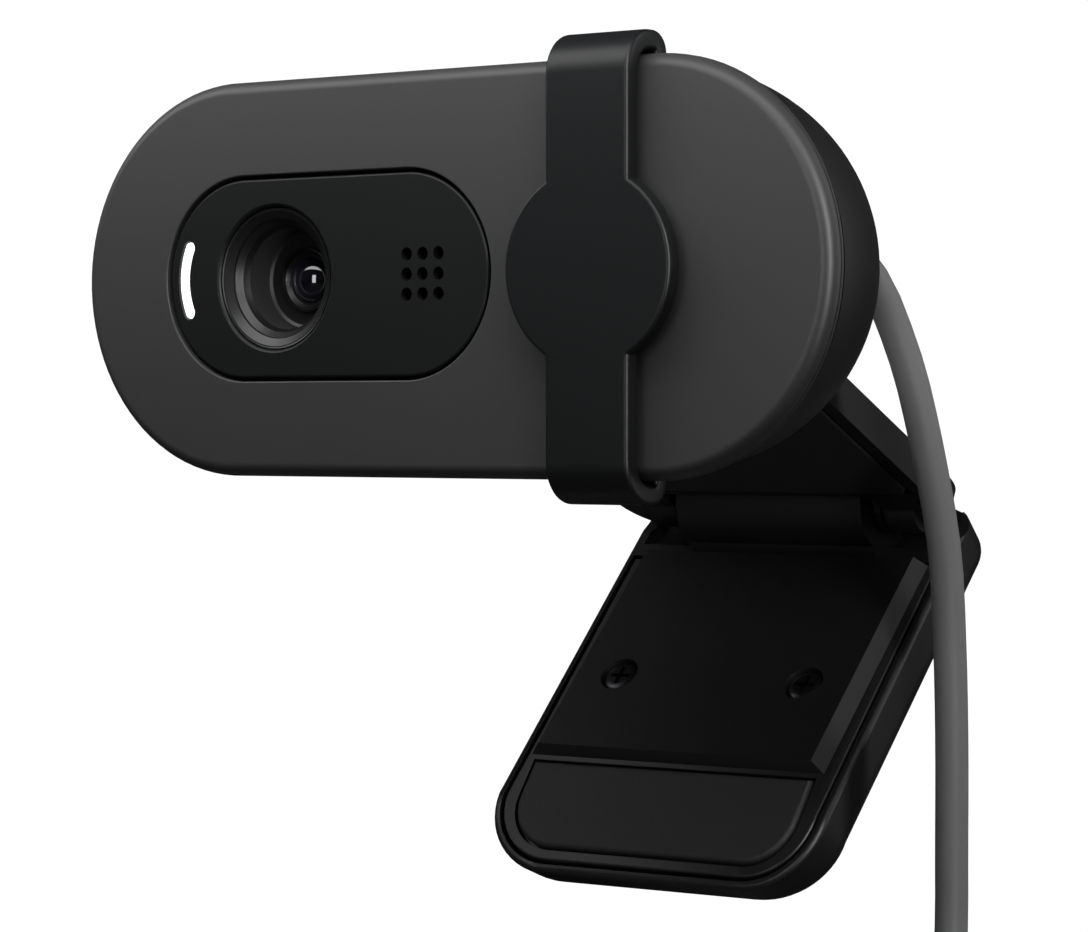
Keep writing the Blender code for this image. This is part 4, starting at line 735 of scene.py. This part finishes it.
for v in bmesh.from_edit_mesh(rise.data).verts:
    if v.select:
        v.co.x -= math.copysign(1.75 * MM, v.co.x)
        v.co.z += 0.8 * MM if v.co.z < -20 * MM else 0.0
bpy.ops.object.mode_set(mode="OBJECT")
carve(lid, rise, "UNION")
for side in (-1, 1):
    carve(lid, round_bar("hole", 1.8 * MM, 0.0, 3.1 * MM, side * SCREW_X, SCREW_Z))
recess = slab("recess", -14.5 * MM, 14.5 * MM, 2.2 * MM, 3.5 * MM, -38.0 * MM, -29.35 * MM)
round_edges(recess, 4.6 * MM, 10, lambda e: abs(e.verts[0].co.y - e.verts[1].co.y) > MM
            and all(v.co.z < -35 * MM for v in e.verts))
carve(lid, recess)
change(lid, "BEVEL", width=0.22 * MM, segments=3, limit_method="ANGLE", angle_limit=math.radians(25))
bend_end(lid)
put(lid, ARM_BLACK, "leg", "black_plastic", "leg_cover", at=FOLD, turn=LEG_TURN, angle=25)

# ---- rubber foot --------------------------------------------------------------------------------
# The soft rubber pad at the leg's lower end that presses on the back of the monitor. It is glued into a
# recess in the cover and follows its bend.
foot = slab("leg_foot", -14.25 * MM, 14.25 * MM, 2.3 * MM, 3.2 * MM, -37.75 * MM, -29.6 * MM)
round_edges(foot, 4.4 * MM, 10, lambda e: abs(e.verts[0].co.y - e.verts[1].co.y) > 0.5 * MM
            and all(v.co.z < -35 * MM for v in e.verts))
round_edges(foot, 0.45 * MM, 5, lambda e: all(v.co.y < 2.4 * MM for v in e.verts))
bend_end(foot)
put(foot, GRIP, "leg", "black_rubber", "leg_rubber_pad", at=FOLD, turn=LEG_TURN)

# ---- leg screws ---------------------------------------------------------------------------------
# Two small black-plated steel pan-head screws with a cross recess, sunk below the plateau. They hold
# the cover on the shell.
PLATED = moulded("black_plated_steel", (0.035, 0.035, 0.038), (0.06, 0.06, 0.064), (0.25, 0.4), 3000.0, 0.2, 700.0)
PLATED.node_tree.nodes["Principled BSDF"].inputs["Metallic"].default_value = 0.85
for name, side in (("leg_screw_left", -1), ("leg_screw_right", 1)):
    x, z = side * SCREW_X, SCREW_Z
    screw = round_bar("head_" + name, 1.5 * MM, 1.85 * MM, 3.0 * MM, x, z)
    step_in(screw, -1, [(0.1 * MM, 0.06 * MM), (0.25 * MM, 0.08 * MM), (0.3 * MM, 0.03 * MM)])
    for wide, high in ((0.95, 0.2), (0.2, 0.95)):
        carve(screw, slab("cross", x - wide * MM, x + wide * MM, 1.0 * MM, 2.3 * MM, z - high * MM, z + high * MM))
    put(screw, PLATED, "leg", "steel", name, at=FOLD, turn=LEG_TURN)

# ---- hinge pins and washers ---------------------------------------------------------------------
# A bright steel tilt pin and a dark plated fold pin, pressed into their lugs. A spring washer at each
# side of each barrel holds the pose by friction.
STEEL = moulded("bright_steel", (0.42, 0.42, 0.43), (0.52, 0.52, 0.53), (0.22, 0.34), 2200.0, 0.12, 500.0)
STEEL.node_tree.nodes["Principled BSDF"].inputs["Metallic"].default_value = 1.0


def refinish(finish, *names):
    """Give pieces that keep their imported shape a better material."""
    for name in names:
        frame["nodes"][name].data.materials.clear()
        frame["nodes"][name].data.materials.append(finish)


refinish(STEEL, "tilt_pin", "tilt_washer_left", "tilt_washer_right")
refinish(PLATED, "fold_pin", "fold_washer_left", "fold_washer_right")

# ---- strain relief ------------------------------------------------------------------------------
# A soft rubber sleeve round the lead that narrows in five steps so that it can flex. Its flange snaps
# into the hole in the rear cover.
SOFT_BLACK = moulded("relief_rubber", (0.016, 0.016, 0.0175), (0.02, 0.02, 0.022), (0.55, 0.68), 3000.0, 0.25)
relief = round_bar("lead_sleeve", 3.2 * MM, 15.9 * MM, 17.1 * MM, 21.0 * MM, 3.2 * MM)
rings = [(0.25 * MM, 0.12 * MM), (0.35 * MM, 0.05 * MM)]
for k in range(5):
    rings += [(0.03 * MM, 0.72 * MM), (0.14 * MM, 0.0), (0.02 * MM, 0.4 * MM)]
step_in(relief, 1, rings)
put(relief, SOFT_BLACK, "head", "black_rubber", "cable_strain_relief")

# ---- tie ----------------------------------------------------------------------------------------
# A flat black rubber band, looped once round the coil, that keeps the spare lead together.
# It comes off when the lead is unwound.
refinish(SOFT_BLACK, "cable_tie")

# ---- plug ---------------------------------------------------------------------------------------
# A USB plug: a black moulded grip, a bright shell folded from thin steel sheet, and an ivory plastic
# tongue. A short black rubber sleeve joins the lead to the grip.
IVORY = moulded("ivory_plastic", (0.62, 0.59, 0.5), (0.7, 0.67, 0.58), (0.35, 0.42), 2600.0, 0.1)
refinish(BLACK, "plug_grip")
refinish(STEEL, "plug_shell")
refinish(IVORY, "plug_tongue")
refinish(SOFT_BLACK, "plug_strain_relief")

# ---- inside the head ----------------------------------------------------------------------------
# The lens holder, sensor, board, light, microphone and the lead's connector, which show only through
# the holes. Two small steel screws hold the green board to the shell's posts.
BOARD = moulded("green_board", (0.012, 0.09, 0.045), (0.02, 0.12, 0.06), (0.35, 0.5), 1500.0, 0.15)
refinish(BOARD, "main_board")
refinish(COATED, "rear_lens")
refinish(DEEP_BLACK, "lens_holder", "image_sensor")
refinish(LIT, "status_led")
refinish(STEEL, "board_screw_upper", "board_screw_lower", "microphone")
refinish(IVORY, "cable_connector")
refinish(SOFT_BLACK, "inner_lead", "mic_gasket")

# ---- the lead, and the scene's bounds -----------------------------------------------------------
# The lead is a loose cord that ends in the plug. The bounds of all shown pieces are taken, the floor left out.
low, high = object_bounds()
